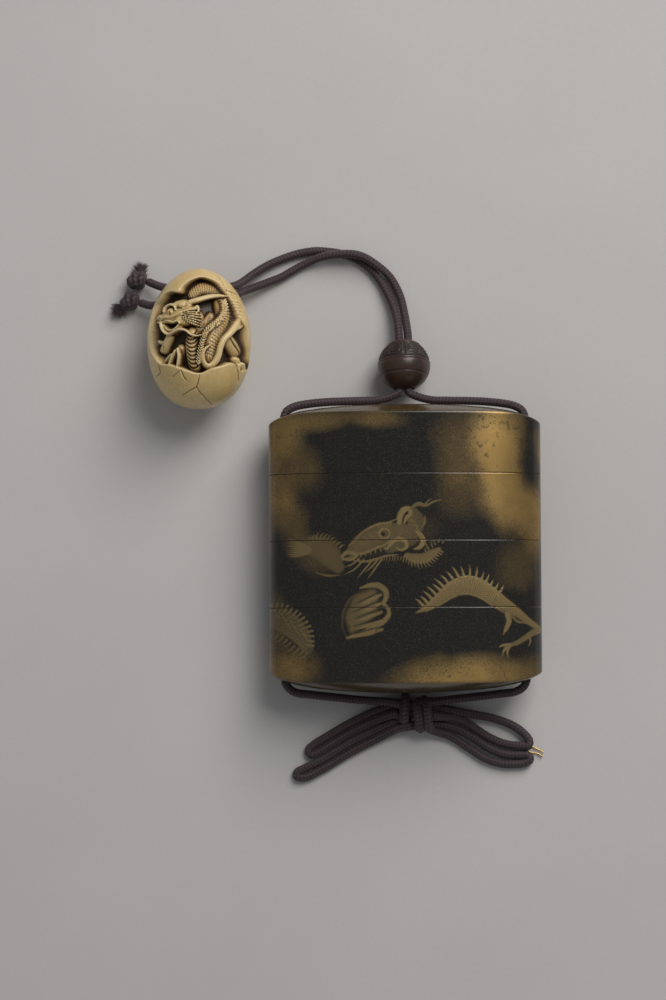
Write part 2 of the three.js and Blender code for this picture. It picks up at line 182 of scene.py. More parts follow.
# A braided tube along a path, with rounded ends. Swell is how much fatter it is at each point.
def braidTube(name, line, radius, sides, braid, swell=None):
    swell = np.ones(len(line)) if swell is None else swell
    sideways, upward = acrossPath(line)
    reach = np.concatenate([[0], np.cumsum(np.linalg.norm(np.diff(line, axis=0), axis=1))])
    turn = np.linspace(0, 1, sides + 1)
    ribs = braidRibs(turn[None, :], reach[:, None], braid)
    width = (radius - braid["relief"] * (1 - ribs)) * swell[:, None]
    angle = 2 * np.pi * turn[None, :, None]
    ring = np.cos(angle) * sideways[:, None, :] + np.sin(angle) * upward[:, None, :]
    places = line[:, None, :] + ring * width[:, :, None]
    ends = []
    for end, neighbour in ((0, 1), (-1, -2)):
        out = line[end] - line[neighbour]
        out = out / np.linalg.norm(out) * radius
        ends.append([line[end] + 0.55 * out + 0.75 * (places[end] - line[end]),
                     np.repeat((line[end] + 0.8 * out)[None], sides + 1, axis=0)])
    places = np.concatenate([[ends[0][1], ends[0][0]], places, [ends[1][0], ends[1][1]]])
    pad = lambda values: np.concatenate([values[:1], values[:1], values, values[-1:], values[-1:]])
    uv = np.stack(np.broadcast_arrays(turn[None, :], pad(reach)[:, None] / braid["pitch"]), axis=-1)
    return wrapGrid(name, places, {"rib": pad(ribs)}, uv)


# Round threads are drawn as curves, and become a mesh once all of them are there.
def newCurves(name, radius, roundness):
    data = bpy.data.curves.new(name, "CURVE")
    data.dimensions = "3D"
    data.bevel_depth = radius * mm
    data.bevel_resolution = roundness
    data.use_fill_caps = True
    return data


def meshFromCurves(data):
    piece = bpy.data.objects.new(data.name, data)
    bpy.context.scene.collection.objects.link(piece)
    pick(piece)
    bpy.ops.object.convert(target="MESH")
    bpy.ops.object.shade_smooth()
    return bpy.context.object


print("camera and lights")

view = {
    "lookAt": (-19.8, 13.4, 12.0),
    "distance": 900.0,
    "leanDegrees": 2.8,  # the camera stands a little towards the bow
    "rollDegrees": 0.3,
    "seenHeight": 275.7,
    "sensor": 36.0,
}


def addCamera():
    lean = math.radians(view["leanDegrees"])
    back = Vector((0, -math.sin(lean), math.cos(lean)))
    place = (Vector(view["lookAt"]) + back * view["distance"]) * mm
    bpy.ops.object.camera_add(location=place)
    camera = bpy.context.object
    camera.name = "studioCamera"
    turn = (-back).to_track_quat("-Z", "Y").to_euler()
    camera.rotation_euler = turn
    camera.rotation_euler.rotate_axis("Z", math.radians(-view["rollDegrees"]))
    camera.data.sensor_width = view["sensor"]
    camera.data.lens = view["sensor"] * view["distance"] / view["seenHeight"]
    camera.data.clip_start = 0.05
    camera.data.clip_end = 20
    bpy.context.scene.camera = camera


softbox = {"place": (0.42, 0.72, 0.86), "size": (0.62, 0.95), "power": 11.0, "colour": (1.0, 0.97, 0.94)}
roomLight = {"colour": (0.95, 0.98, 1.0), "strength": 0.225}


def addLights():
    place = Vector(softbox["place"])
    bpy.ops.object.light_add(type="AREA", location=place)
    lamp = bpy.context.object
    lamp.name = "softbox"
    lamp.rotation_euler = (place - Vector(view["lookAt"]) * mm).to_track_quat("Z", "Y").to_euler()
    lamp.data.shape = "RECTANGLE"
    lamp.data.size, lamp.data.size_y = softbox["size"]
    lamp.data.energy = softbox["power"]
    lamp.data.color = softbox["colour"]
    world = bpy.data.worlds.new("room")
    world.use_nodes = True
    room = world.node_tree.nodes["Background"]
    room.inputs["Color"].default_value = (*roomLight["colour"], 1)
    room.inputs["Strength"].default_value = roomLight["strength"]
    bpy.context.scene.world = world
    bpy.context.scene.view_settings.view_transform = "Standard"


addCamera()
addLights()


print("materials")


# Each input of a shader node is linked to a socket or set to a value.
def feed(tree, made, inputs):
    for key, value in inputs.items():
        if isinstance(value, bpy.types.NodeSocket):
            tree.links.new(value, made.inputs[key])
        else:
            made.inputs[key].default_value = value
    return made


def node(tree, kind, inputs=None, **settings):
    made = tree.nodes.new(kind)
    for key, value in settings.items():
        setattr(made, key, value)
    return feed(tree, made, inputs or {})


def maths(tree, operation, first, second=0.0, clamp=False):
    return node(tree, "ShaderNodeMath", {0: first, 1: second}, operation=operation,
                use_clamp=clamp).outputs[0]


def remap(tree, value, low, high, toLow=0.0, toHigh=1.0):
    ranges = {"Value": value, "From Min": low, "From Max": high, "To Min": toLow, "To Max": toHigh}
    return node(tree, "ShaderNodeMapRange", ranges, interpolation_type="SMOOTHSTEP").outputs["Result"]


def blend(tree, share, first, second, kind="MIX"):
    return node(tree, "ShaderNodeMix", {0: share, 6: first, 7: second}, data_type="RGBA",
                blend_type=kind).outputs[2]


def noise(tree, vector, scale, detail=3.0, roughness=0.55, distortion=0.0):
    values = {"Vector": vector, "Scale": scale, "Detail": detail, "Roughness": roughness,
              "Distortion": distortion}
    return node(tree, "ShaderNodeTexNoise", values).outputs["Fac"]


def mark(tree, name):
    return node(tree, "ShaderNodeAttribute", attribute_name=name).outputs["Fac"]


def objectPlace(tree):
    return node(tree, "ShaderNodeTexCoord").outputs["Object"]


def newGroup(name, inputs, outputs):
    group = bpy.data.node_groups.new(name, "ShaderNodeTree")
    for socket, kind, value in inputs:
        made = group.interface.new_socket(socket, in_out="INPUT", socket_type="NodeSocket" + kind)
        if value is not None:
            made.default_value = value
    for socket, kind in outputs:
        group.interface.new_socket(socket, in_out="OUTPUT", socket_type="NodeSocket" + kind)
    return group, group.nodes.new("NodeGroupInput").outputs, group.nodes.new("NodeGroupOutput").inputs


# Specks scattered so that they cover a given share of the surface. Scale is specks in a metre.
def makeSpecks():
    group, given, result = newGroup(
        "specks",
        [("Vector", "Vector", None), ("Scale", "Float", 5000.0), ("Share", "Float", 0.5),
         ("Edge", "Float", 0.06)],
        [("Mask", "Float")],
    )
    grain = noise(group, given["Vector"], given["Scale"], 2.0, 0.6)
    even = remap(group, grain, 0.27, 0.73)
    low = maths(group, "SUBTRACT", even, given["Edge"])
    high = maths(group, "ADD", even, given["Edge"])
    group.links.new(remap(group, given["Share"], low, high), result["Mask"])
    return group


# Broad smudges with a fine grain over them, both around a half.
def makeHandling():
    group, given, result = newGroup(
        "handling",
        [("Vector", "Vector", None), ("Broad", "Float", 60.0), ("Fine", "Float", 1800.0)],
        [("Smudge", "Float"), ("Grain", "Float")],
    )
    smudge = noise(group, given["Vector"], given["Broad"], 4.0, 0.6, 0.4)
    group.links.new(remap(group, smudge, 0.3, 0.7), result["Smudge"])
    group.links.new(noise(group, given["Vector"], given["Fine"], 3.0, 0.65), result["Grain"])
    return group


specks = makeSpecks()
handling = makeHandling()


def placeGroup(tree, group, inputs):
    made = tree.nodes.new("ShaderNodeGroup")
    made.node_tree = group
    return feed(tree, made, inputs).outputs


def newMaterial(name, **sockets):
    material = bpy.data.materials.new(name)
    material.use_nodes = True
    tree = material.node_tree
    shader = tree.nodes["Principled BSDF"]
    for key, value in sockets.items():
        shader.inputs[key.replace("_", " ")].default_value = value
    return material, tree, shader.inputs


def bump(tree, height, distance, strength=1.0):
    return node(tree, "ShaderNodeBump", {"Height": height, "Distance": distance,
                                         "Strength": strength}).outputs[0]


def makeLacquer():
    material, tree, shader = newMaterial("lacquerAndGold", Coat_Weight=0.22, Coat_Roughness=0.12)
    place = objectPlace(tree)
    gilding, drawn, inside = mark(tree, "gilding"), mark(tree, "drawn"), mark(tree, "inside")
    touch = placeGroup(tree, handling, {"Vector": place, "Broad": 75.0, "Fine": 2600.0})
    dust = placeGroup(tree, specks, {"Vector": place, "Scale": 5200.0, "Share": gilding,
                                     "Edge": 0.4})["Mask"]
    pits = placeGroup(tree, specks, {"Vector": place, "Scale": 1500.0, "Share": 0.1,
                                     "Edge": 0.05})["Mask"]
    worn = maths(tree, "MULTIPLY", pits, remap(tree, touch["Smudge"], 0.35, 0.9), clamp=True)
    soft = blend(tree, 0.42, gilding, dust)
    cover = blend(tree, drawn, soft, gilding)
    bare = maths(tree, "MULTIPLY", worn, maths(tree, "SUBTRACT", 1.0,
                                               maths(tree, "MULTIPLY", drawn, 0.6)))
    cover = maths(tree, "MULTIPLY", cover, maths(tree, "SUBTRACT", 1.0,
                                                 maths(tree, "MULTIPLY", bare, 0.65)))
    gold = blend(tree, touch["Smudge"], (0.40, 0.255, 0.085, 1), (0.50, 0.325, 0.11, 1))
    gold = blend(tree, maths(tree, "MULTIPLY", drawn, 0.75), gold, (0.46, 0.34, 0.15, 1))
    black = blend(tree, inside, (0.0030, 0.0042, 0.0050, 1), (0.020, 0.007, 0.004, 1))
    tree.links.new(blend(tree, cover, black, gold), shader["Base Color"])
    tree.links.new(maths(tree, "MULTIPLY", cover, 0.92), shader["Metallic"])
    rough = remap(tree, cover, 0.0, 1.0, 0.16, 0.33)
    rough = maths(tree, "ADD", rough, maths(tree, "MULTIPLY", touch["Grain"], 0.06))
    tree.links.new(rough, shader["Roughness"])
    height = maths(tree, "ADD", maths(tree, "MULTIPLY", touch["Grain"], cover),
                   maths(tree, "MULTIPLY", drawn, 1.5))
    tree.links.new(bump(tree, height, 0.00002), shader["Normal"])
    return material


def makeIvory():
    material, tree, shader = newMaterial(
        "stainedIvory", Subsurface_Weight=0.12, Subsurface_Scale=0.002, Coat_Weight=0.12,
        Coat_Roughness=0.2,
    )
    shader["Subsurface Radius"].default_value = (1.0, 0.55, 0.25)
    place = objectPlace(tree)
    # The stain mark holds the ivory's real stain in the carving's crevices and painted shade that darkens
    # the pocket with its depth.
    stainAndShade, polish = mark(tree, "stainAndShade"), mark(tree, "polish")
    touch = placeGroup(tree, handling, {"Vector": place, "Broad": 90.0, "Fine": 2400.0})
    stretched = node(tree, "ShaderNodeMapping", {"Vector": place, "Scale": (1.0, 0.12, 1.0)}).outputs[0]
    rays = noise(tree, stretched, 1400.0, 2.0, 0.5)
    cream = blend(tree, touch["Smudge"], (0.66, 0.47, 0.19, 1), (0.76, 0.57, 0.26, 1))
    cream = blend(tree, remap(tree, rays, 0.35, 0.75, 0.0, 0.35), cream, (0.50, 0.35, 0.15, 1))
    cream = blend(tree, maths(tree, "MULTIPLY", polish, 0.5), cream, (0.80, 0.67, 0.42, 1))
    deep = maths(tree, "ADD", stainAndShade, maths(tree, "MULTIPLY", maths(tree, "SUBTRACT", touch["Grain"], 0.5),
                                           0.25))
    light = blend(tree, remap(tree, deep, 0.03, 0.4), cream, (0.26, 0.145, 0.045, 1))
    tree.links.new(blend(tree, remap(tree, deep, 0.34, 0.8), light, (0.035, 0.018, 0.006, 1)),
                   shader["Base Color"])
    tree.links.new(remap(tree, stainAndShade, 0.0, 1.0, 0.27, 0.6), shader["Roughness"])
    tree.links.new(bump(tree, touch["Grain"], 0.00002), shader["Normal"])
    return material


def makeNut():
    material, tree, shader = newMaterial("carvedNut", Coat_Weight=0.15, Coat_Roughness=0.25)
    place = objectPlace(tree)
    groove, cap = mark(tree, "groove"), mark(tree, "cap")
    touch = placeGroup(tree, handling, {"Vector": place, "Broad": 160.0, "Fine": 3000.0})
    body = blend(tree, touch["Smudge"], (0.034, 0.018, 0.013, 1), (0.060, 0.030, 0.021, 1))
    body = blend(tree, cap, body, (0.085, 0.040, 0.027, 1))
    pores = placeGroup(tree, specks, {"Vector": place, "Scale": 3000.0, "Share": 0.16,
                                      "Edge": 0.08})["Mask"]
    dark = maths(tree, "MAXIMUM", maths(tree, "MULTIPLY", pores, 0.35), groove)
    tree.links.new(blend(tree, dark, body, (0.013, 0.008, 0.007, 1)), shader["Base Color"])
    tree.links.new(remap(tree, dark, 0.0, 1.0, 0.32, 0.62), shader["Roughness"])
    tree.links.new(bump(tree, touch["Grain"], 0.00002), shader["Normal"])
    return material


# The base colour runs from dark in the grooves between ribs and plies to light on the rib crowns: painted
# shade in the grooves and a painted highlight on the crowns.
def makeSilk(name, dark, light, sheen):
    material, tree, shader = newMaterial(name, Sheen_Weight=sheen, Sheen_Roughness=0.4)
    shader["Sheen Tint"].default_value = (0.86, 0.66, 0.74, 1)
    place = objectPlace(tree)
    rib = mark(tree, "rib")
    uv = node(tree, "ShaderNodeTexCoord").outputs["UV"]
    touch = placeGroup(tree, handling, {"Vector": place, "Broad": 110.0, "Fine": 3200.0})
    across = node(tree, "ShaderNodeSeparateXYZ", {0: uv}).outputs
    ply = maths(tree, "ADD", maths(tree, "MULTIPLY", across["X"], 60.0),
                maths(tree, "MULTIPLY", across["Y"], 18.0))
    ply = maths(tree, "ABSOLUTE", maths(tree, "SINE", ply))
    share = maths(tree, "MULTIPLY", rib, remap(tree, touch["Grain"], 0.25, 0.75, 0.45, 1.0))
    share = maths(tree, "MULTIPLY", share, remap(tree, ply, 0.0, 1.0, 0.7, 1.0))
    tone = blend(tree, touch["Smudge"], light, (light[0] * 0.8, light[1] * 0.82, light[2] * 0.95, 1))
    tree.links.new(blend(tree, share, dark, tone), shader["Base Color"])
    tree.links.new(remap(tree, share, 0.0, 1.0, 0.75, 0.42), shader["Roughness"])
    tree.links.new(bump(tree, ply, 0.00003), shader["Normal"])
    return material


def makeBrass():
    material, tree, shader = newMaterial("bentBrass", Metallic=1.0)
    touch = placeGroup(tree, handling, {"Vector": objectPlace(tree), "Broad": 300.0, "Fine": 4000.0})
    tone = blend(tree, touch["Smudge"], (0.40, 0.25, 0.09, 1), (0.66, 0.46, 0.18, 1))
    tree.links.new(tone, shader["Base Color"])
    tree.links.new(remap(tree, touch["Grain"], 0.3, 0.7, 0.24, 0.42), shader["Roughness"])
    return material


def makePaper():
    material, tree, shader = newMaterial("paleBoard")
    touch = placeGroup(tree, handling, {"Vector": objectPlace(tree), "Broad": 9.0, "Fine": 900.0})
    tone = blend(tree, touch["Smudge"], (0.560, 0.545, 0.540, 1), (0.590, 0.575, 0.570, 1))
    tone = blend(tree, remap(tree, touch["Grain"], 0.3, 0.7, 0.0, 0.12), tone, (0.50, 0.485, 0.48, 1))
    tree.links.new(tone, shader["Base Color"])
    tree.links.new(remap(tree, touch["Grain"], 0.3, 0.7, 0.75, 0.9), shader["Roughness"])
    tree.links.new(bump(tree, touch["Grain"], 0.00002), shader["Normal"])
    return material


lacquer = makeLacquer()
ivory = makeIvory()
nut = makeNut()
# The darker colour of each silk is painted shade in the braid's grooves, the lighter one a painted
# highlight on its crowns.
silk = makeSilk("braidedSilk", (0.008, 0.005, 0.006, 1), (0.125, 0.078, 0.084, 1), 0.25)
frayedSilk = makeSilk("frayedSilk", (0.02, 0.012, 0.014, 1), (0.12, 0.07, 0.075, 1), 0.35)
brass = makeBrass()
paper = makePaper()


def addFloor():
    deselectAll()
    bpy.ops.mesh.primitive_grid_add(x_subdivisions=40, y_subdivisions=40, size=8,
                                    location=(0, 0, -0.0002))
    floor = bpy.context.object
    floor.name = "paleBoard"
    floor.data.materials.append(paper)


addFloor()


print("the cord")

cord = {"radius": 1.2, "sides": 20, "spacing": 0.23, "strandGap": 0.06, "holeGap": 0.16}
bowSwell = {"place": [3.2, -45.4, 3.9], "grow": 0.16, "full": 4.5,
            "none": 7.5}  # it lies fatter near the bow
braid = {"columns": 3, "pitch": 0.95, "slant": 0.5, "relief": 0.14}
beadLow, beadHigh = boxOf("ojime_bead")
bead = {
    "radius": (beadHigh[0] - beadLow[0]) / 2,
    "place": (beadLow + beadHigh) / 2,
    "tilt": math.radians(14),  # its upper pole dips towards the floor
    "capAngle": 38,
    "bandAngle": 86,
    "bandDepth": 0.4,
    "strandClearance": 0.35,
    "holeHalfLength": 9.5,
}
channelX = 33.15
caseMiddle = 11.8

# The route, from the upper end knot to the lower one. Places are [x, y, z].
innerStrand = [
    [-70.8, 75, 3.4], [-68.3, 73.8, 5], [-66, 73, 7], [-63.6, 72.7, 8], [-57, 72.7, 8], [-49.6, 72.8, 8],
    [-46.4, 73.6, 6.6], [-44.6, 74.8, 5.1], [-41.9, 77, 3.2], [-39, 79, 1.9], [-36, 80.6, 1.4],
    [-33, 81.8, 1.25], [-30, 82.8, 1.2], [-27.1, 83.45, 1.2], [-24.2, 83.75, 1.2], [-21.3, 83.6, 1.2],
    [-18.3, 83.2, 1.2], [-14.6, 82.1, 1.2], [-11.6, 80.6, 1.2], [-8.7, 78.3, 1.2], [-6.3, 75.4, 1.2],
    [-4.2, 71.6, 1.7], [-2.6, 67.8, 2.6], [-1.6, 63.9, 3.9], [-1.2, 59.6, 5.2],
]
outerStrand = [
    [-72.9, 69.1, 3.7], [-70.4, 68.3, 4.6], [-68.2, 68.5, 6], [-65.2, 70.1, 7.7], [-57, 70.3, 8],
    [-49.6, 70.4, 8], [-46.4, 71.1, 6.8], [-44.6, 72, 5.2], [-41.5, 73.3, 3.6], [-37, 75.15, 2],
    [-34, 76.4, 1.4], [-31, 78.1, 1.25], [-27.9, 79.8, 1.4], [-24.8, 81.2, 2.1], [-21.5, 82.1, 3.2],
    [-18.2, 82.5, 3.8], [-15, 82.6, 3.9], [-12.6, 82.3, 3.8], [-10.1, 81.35, 3.5], [-7.4, 79.6, 3],
    [-4.5, 77.3, 1.8], [-2.8, 75.2, 1.35], [-0.8, 71, 1.9], [0.5, 65.2, 3.6], [1.3, 59.4, 5.2],
]
leftUpperLoop = [
    [-2.7, -43.4, 2.6], [-8.5, -45, 1.9], [-15.9, -48.5, 1.25], [-22, -52, 1.2], [-25.4, -54.1, 1.2],
    [-26.9, -55.5, 1.2], [-26.6, -56.8, 1.2], [-24.9, -56.5, 1.2], [-22, -54.8, 1.2],
    [-15.9, -51.2, 1.25],
    [-8.5, -47.6, 2.2], [-2.5, -45.8, 3.6],
]
leftLowerLoop = [
    [-2.1, -47.6, 1.9], [-8.5, -50.3, 1.4], [-15.9, -53.9, 1.2], [-23, -58.2, 1.2], [-28.2, -60.7, 1.2],
    [-30.2, -61.9, 1.2], [-30.1, -63, 1.2], [-28, -63.2, 1.2], [-23, -60.9, 1.2], [-15.9, -56.7, 1.2],
    [-8.5, -52.9, 1.5], [-1.3, -49.5, 3],
]
rightOpenLoop = [
    [8.3, -44.1, 3], [11.4, -44.5, 2.8], [19.1, -46, 2], [24.4, -47.1, 1.6], [29.2, -48.8, 1.5],
    [32.3, -50.8, 1.6], [34.3, -53.2, 1.8], [34.2, -54.6, 1.9], [32.6, -54.8, 1.7], [27.4, -54.1, 1.3],
    [23, -52.2, 1.25], [18.7, -49.4, 1.4], [13.9, -46.9, 2.2], [8.7, -46.4, 4.2],
]
rightClosedLoop = [
    [8.5, -48.6, 1.9], [13.9, -49.8, 1.4], [18.7, -52.4, 1.2], [23.3, -55.4, 1.2], [28, -57.1, 1.2],
    [31.8, -57.3, 1.3], [33.9, -57.4, 1.4], [34.6, -58.4, 1.4], [33.5, -59.4, 1.3], [30.8, -59.8, 1.2],
    [27, -59.7, 1.2], [22.3, -58.3, 1.2], [17.6, -55.3, 1.2], [12.6, -52.1, 1.4], [7.8, -50.4, 2.6],
]
# The wraps of the bow: place and half size of a turn's middle line, its start and end, and its drift.
leftWrap = {"place": (0.0, -44.1, 3.6), "size": (3.2, 2.2), "from": 215, "to": -145, "drift": (-0.7, 0.5)}
rightWrap = {"place": (4.6, -45.8, 3.95), "size": (3.95, 2.5), "from": 190, "to": -320,
             "drift": (2.0, -1.5)}


def wrapTurn(wrap, steps):
    angles = np.radians(np.linspace(wrap["from"], wrap["to"], steps))
    drift = np.linspace(*wrap["drift"], steps)
    x, y, z = wrap["place"]
    return [
        [x + shift, y + wrap["size"][0] * math.cos(angle), z + wrap["size"][1] * math.sin(angle)]
        for angle, shift in zip(angles, drift)
    ]


def topStrand(side):
    return [
        [0.1 + side * 1.3, 43.4, 9.2], [side * 3.2, 42.3, 9.3], [side * 7.6, 41.1, 9.5],
        [side * 12.3, 40.9, 9.8],
        [side * 21, 40.6, 10.5], [side * 26.8, 40, 11.2], [side * 30.4, 39.2, 11.7],
        [side * 32.4, 38, 11.9],
        [side * channelX, 36.4, caseMiddle], [side * channelX, 35.6, caseMiddle],
    ]


def bottomStrand(side):
    return [
        [side * channelX, -35.6, caseMiddle], [side * channelX, -36.6, caseMiddle],
        [side * 32.3, -38.3, 11.4],
        [side * 30.2, -39.6, 10.6], [side * 26, -40.2, 9.2], [side * 18.5, -41.1, 7.2],
        [side * 12, -41.8, 6.1],
        [2 + side * 6.6, -42.3, 5.4],
    ]


# A strand's straight way through the bead, from the netsuke's side to the case's.
def beadStrand(side):
    axis = np.array([0, -math.cos(bead["tilt"]), math.sin(bead["tilt"])])
    middle = bead["place"] + [side * (cord["radius"] + cord["strandGap"] / 2), 0, 0]
    return [list(middle - axis * (bead["radius"] + 0.3)), list(middle),
            list(middle + axis * (bead["radius"] - 0.9))]


def cordRoute():
    throughBow = [[-1.5, -42.9, 4.9], [2, -43.4, 4.2], [5.4, -43.9, 3.5]]
    backLeft = [[5.4, -46.1, 4.4], [2, -45.2, 3.6], [-0.3, -44, 2.9]]
    backRight = [[1.5, -49, 3.1], [5, -48.4, 2.3]]
    route = innerStrand + beadStrand(-1) + topStrand(-1) + bottomStrand(-1)
    route += throughBow + rightOpenLoop + backLeft + leftUpperLoop
    route += wrapTurn(leftWrap, 13) + leftLowerLoop + backRight + rightClosedLoop
    route += wrapTurn(rightWrap, 17) + bottomStrand(1)[::-1]
    return route + topStrand(1)[::-1] + beadStrand(1)[::-1] + outerStrand[::-1]


def addCord():
    line = smoothLine(cordRoute(), cord["spacing"])
    fromKnot = np.linalg.norm(line - bowSwell["place"], axis=1)
    swell = 1 + bowSwell["grow"] * smoothStep(bowSwell["none"], bowSwell["full"], fromKnot)
    piece = braidTube("silk_cord", line, cord["radius"], cord["sides"], braid, swell)
    nodes = [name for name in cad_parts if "strand" in name or "loop" in name or name == "bow_knot"]
    dressPiece(piece, silk, "silk", *nodes)
    return piece, line


silkCord, cordLine = addCord()
print("cord length", round(lengthOf(cordLine)), "mm,", len(cordLine), "rings")


# The end knots: two turns round the end of the cord, and the cut end frayed out into threads.
endKnots = [
    {"name": "upper_end_knot", "band": (-73.0, 75.5, 2.75), "body": (-75.0, 75.7, 2.75),
     "end": (-73.4, 77.9, 2.3),
     "fray": (0.12, 1.0, -0.1)},
    {"name": "lower_end_knot", "band": (-75.0, 69.9, 2.7), "body": (-77.0, 69.7, 2.7),
     "end": (-78.7, 67.9, 2.0),
     "fray": (-0.8, -0.7, -0.2)},
]
knotTurn = {"across": 1.6, "high": 1.5, "sides": 18, "lean": 0.9, "start": 0.4, "halfTurns": 4.3,
            "steps": 15, "threads": 260, "threadRadius": 0.075, "threadLength": 2.3}


def addEndKnot(knot, start):
    start, band, body, end = (np.array(place, float) for place in (start, knot["band"], knot["body"],
                                                                   knot["end"]))
    way = (body - start) / np.linalg.norm(body - start)
    side = np.array([-way[1], way[0], 0.0])
    side /= np.linalg.norm(side)
    route = []
    for step in range(knotTurn["steps"]):
        share = step / (knotTurn["steps"] - 1)
        angle = knotTurn["start"] + share * knotTurn["halfTurns"] * math.pi
        middle = band + (body - band) * smoothStep(0.25, 0.75, share)
        lean = knotTurn["lean"] * math.sin(angle) * share * way
        route.append(middle + side * knotTurn["across"] * math.cos(angle) + lean
                     + np.array([0, 0, knotTurn["high"] * math.sin(angle)]))
    route += [body + (end - body) * 0.45, end]
    line = smoothLine(route, cord["spacing"])
    piece = braidTube(knot["name"] + "_wraps", line, cord["radius"], knotTurn["sides"], braid)
    dressPiece(piece, silk, "silk", knot["name"])
    return piece, addFray(knot, end)


def addFray(knot, end):
    out = np.array(knot["fray"], float)
    out /= np.linalg.norm(out)
    data = newCurves(knot["name"] + "_fray", knotTurn["threadRadius"], 1)
    for _ in range(knotTurn["threads"]):
        spread = chance.normal(0, 0.5, 3)
        place = end + np.clip(spread, -0.95, 0.95) * (1, 1, 0.8)
        aim = out + 0.75 * np.clip(spread, -0.95, 0.95) + chance.normal(0, 0.16, 3)
        length = knotTurn["threadLength"] * chance.uniform(0.7, 1.05) / np.linalg.norm(aim)
        curl = chance.normal(0, 0.12, 3)
        thread = data.splines.new("POLY")
        thread.points.add(5)
        for i, point in enumerate(thread.points):
            share = i / 5
            spot = place + aim * length * share + curl * share**2 * length
            spot[2] = max(spot[2] - 0.5 * share**2, knotTurn["threadRadius"] + 0.02)
            point.co = (*(spot * mm), 1)
            point.radius = 1 - 0.5 * share
    tuft = meshFromCurves(data)
    addMark(tuft, "rib", np.full(len(tuft.data.vertices), 0.8))
    return dressPiece(tuft, frayedSilk, "silk")


knotPieces = [*addEndKnot(endKnots[0], innerStrand[0]), *addEndKnot(endKnots[1], outerStrand[0])]


print("the bead")

beadCarving = {"columns": 176, "rings": 120, "units": 8, "line": 0.3, "lowerGroove": 118}


# The fret on the band: squares within squares, each broken open on one side in turn.
def fretRise(turn, share):
    cell = (turn * beadCarving["units"]) % 1
    across = (cell - 0.5) * 2
    up = (share - 0.5) * 2
    square = np.maximum(np.abs(across), np.abs(up))
    rims = smoothStep(0.0, 0.07, 0.10 - np.abs(square - 0.78)) + smoothStep(0.0, 0.07,
                                                                            0.09 - np.abs(square - 0.42))
    gap = smoothStep(0.05, 0.16, np.abs(up)) + smoothStep(0.0, 0.1, across)
    bar = smoothStep(0.0, 0.06, 0.09 - np.abs(up)) * smoothStep(0.0, 0.1, 0.6 - np.abs(across + 0.1))
    return np.clip(np.maximum(rims * np.clip(gap, 0, 1), bar), 0, 1)


def addBead():
    radius = bead["radius"]
    polar = np.linspace(0, 180, beadCarving["rings"])
    turn = np.linspace(0, 1, beadCarving["columns"] + 1)
    polarGrid, turnGrid = np.meshgrid(polar, turn, indexing="ij")
    inBand = smoothStep(0, 2, polarGrid - bead["capAngle"]) * smoothStep(0, 2,
                                                                         bead["bandAngle"] - polarGrid)
    share = (polarGrid - bead["capAngle"] - 3) / (bead["bandAngle"] - bead["capAngle"] - 6)
    rise = fretRise(turnGrid, np.clip(share, 0, 1)) * (share > 0) * (share < 1)
    groove = inBand * (1 - rise)
    for ring in (bead["capAngle"] - 5, bead["bandAngle"] + 5, beadCarving["lowerGroove"]):
        groove = np.maximum(groove, 0.45 * np.exp(-(((polarGrid - ring) / 1.1) ** 2)))
    size = radius - bead["bandDepth"] * groove - 0.12 * inBand * rise
    angle = np.radians(polarGrid)
    around = 2 * np.pi * turnGrid
    place = np.stack([np.sin(angle) * np.cos(around), np.cos(angle), np.sin(angle) * np.sin(around)],
                     axis=-1)
    place = place * size[..., None]
    tilt = -bead["tilt"]
    y = place[..., 1] * math.cos(tilt) - place[..., 2] * math.sin(tilt)
    z = place[..., 1] * math.sin(tilt) + place[..., 2] * math.cos(tilt)
    middle = np.array([bead["place"][0], bead["place"][1], radius])
    place = np.stack([place[..., 0], y, z], axis=-1) + middle
    cap = smoothStep(2, -2, polarGrid - bead["capAngle"])
    piece = wrapGrid("ojime", place, {"groove": groove, "cap": cap})
    hole = strandHole(bead["strandClearance"], bead["holeHalfLength"])
    along = np.array([0, -math.cos(bead["tilt"]), math.sin(bead["tilt"])])
    passage = placedHole(hole, middle, along, np.array([1.0, 0, 0]))
    cutAway(piece, passage)
    bpy.data.objects.remove(passage)
    return dressPiece(piece, nut, "nutwood", "ojime_bead")


# The outline of a hole that two strands share, as [across, high] points, and half its length.
def strandHole(clearance, halfLength):
    halfHigh = cord["radius"] + clearance
    halfWide = 2 * cord["radius"] + cord["holeGap"] + clearance
    angles = np.radians(np.linspace(0, 360, 33))
    straight = halfWide - halfHigh
    outline = [(halfHigh * math.cos(a) + math.copysign(straight, math.cos(a)),
                halfHigh * math.sin(a)) for a in angles]
    return {"outline": np.array(outline), "halfLength": halfLength}


def placedHole(hole, middle, along, across):
    high = np.cross(along, across)
    rows = []
    for reach, share in ((-1, 0), (-1, 1), (1, 1), (1, 0)):
        outline = hole["outline"] * share
        rows.append(middle + along * reach * hole["halfLength"] + outline[:, :1] * across
                    + outline[:, 1:] * high)
    return wrapGrid("hole", np.array(rows))


ojime = addBead()


# Drawing on a flat sheet of cells, for the netsuke's carving and the picture on the case

def newSheet(low, high, step):
    across = np.arange(low[0], high[0] + step / 2, step, dtype=np.float32)
    up = np.arange(low[1], high[1] + step / 2, step, dtype=np.float32)
    return {"low": low, "step": step, "across": across, "up": up, "shape": (len(up), len(across))}


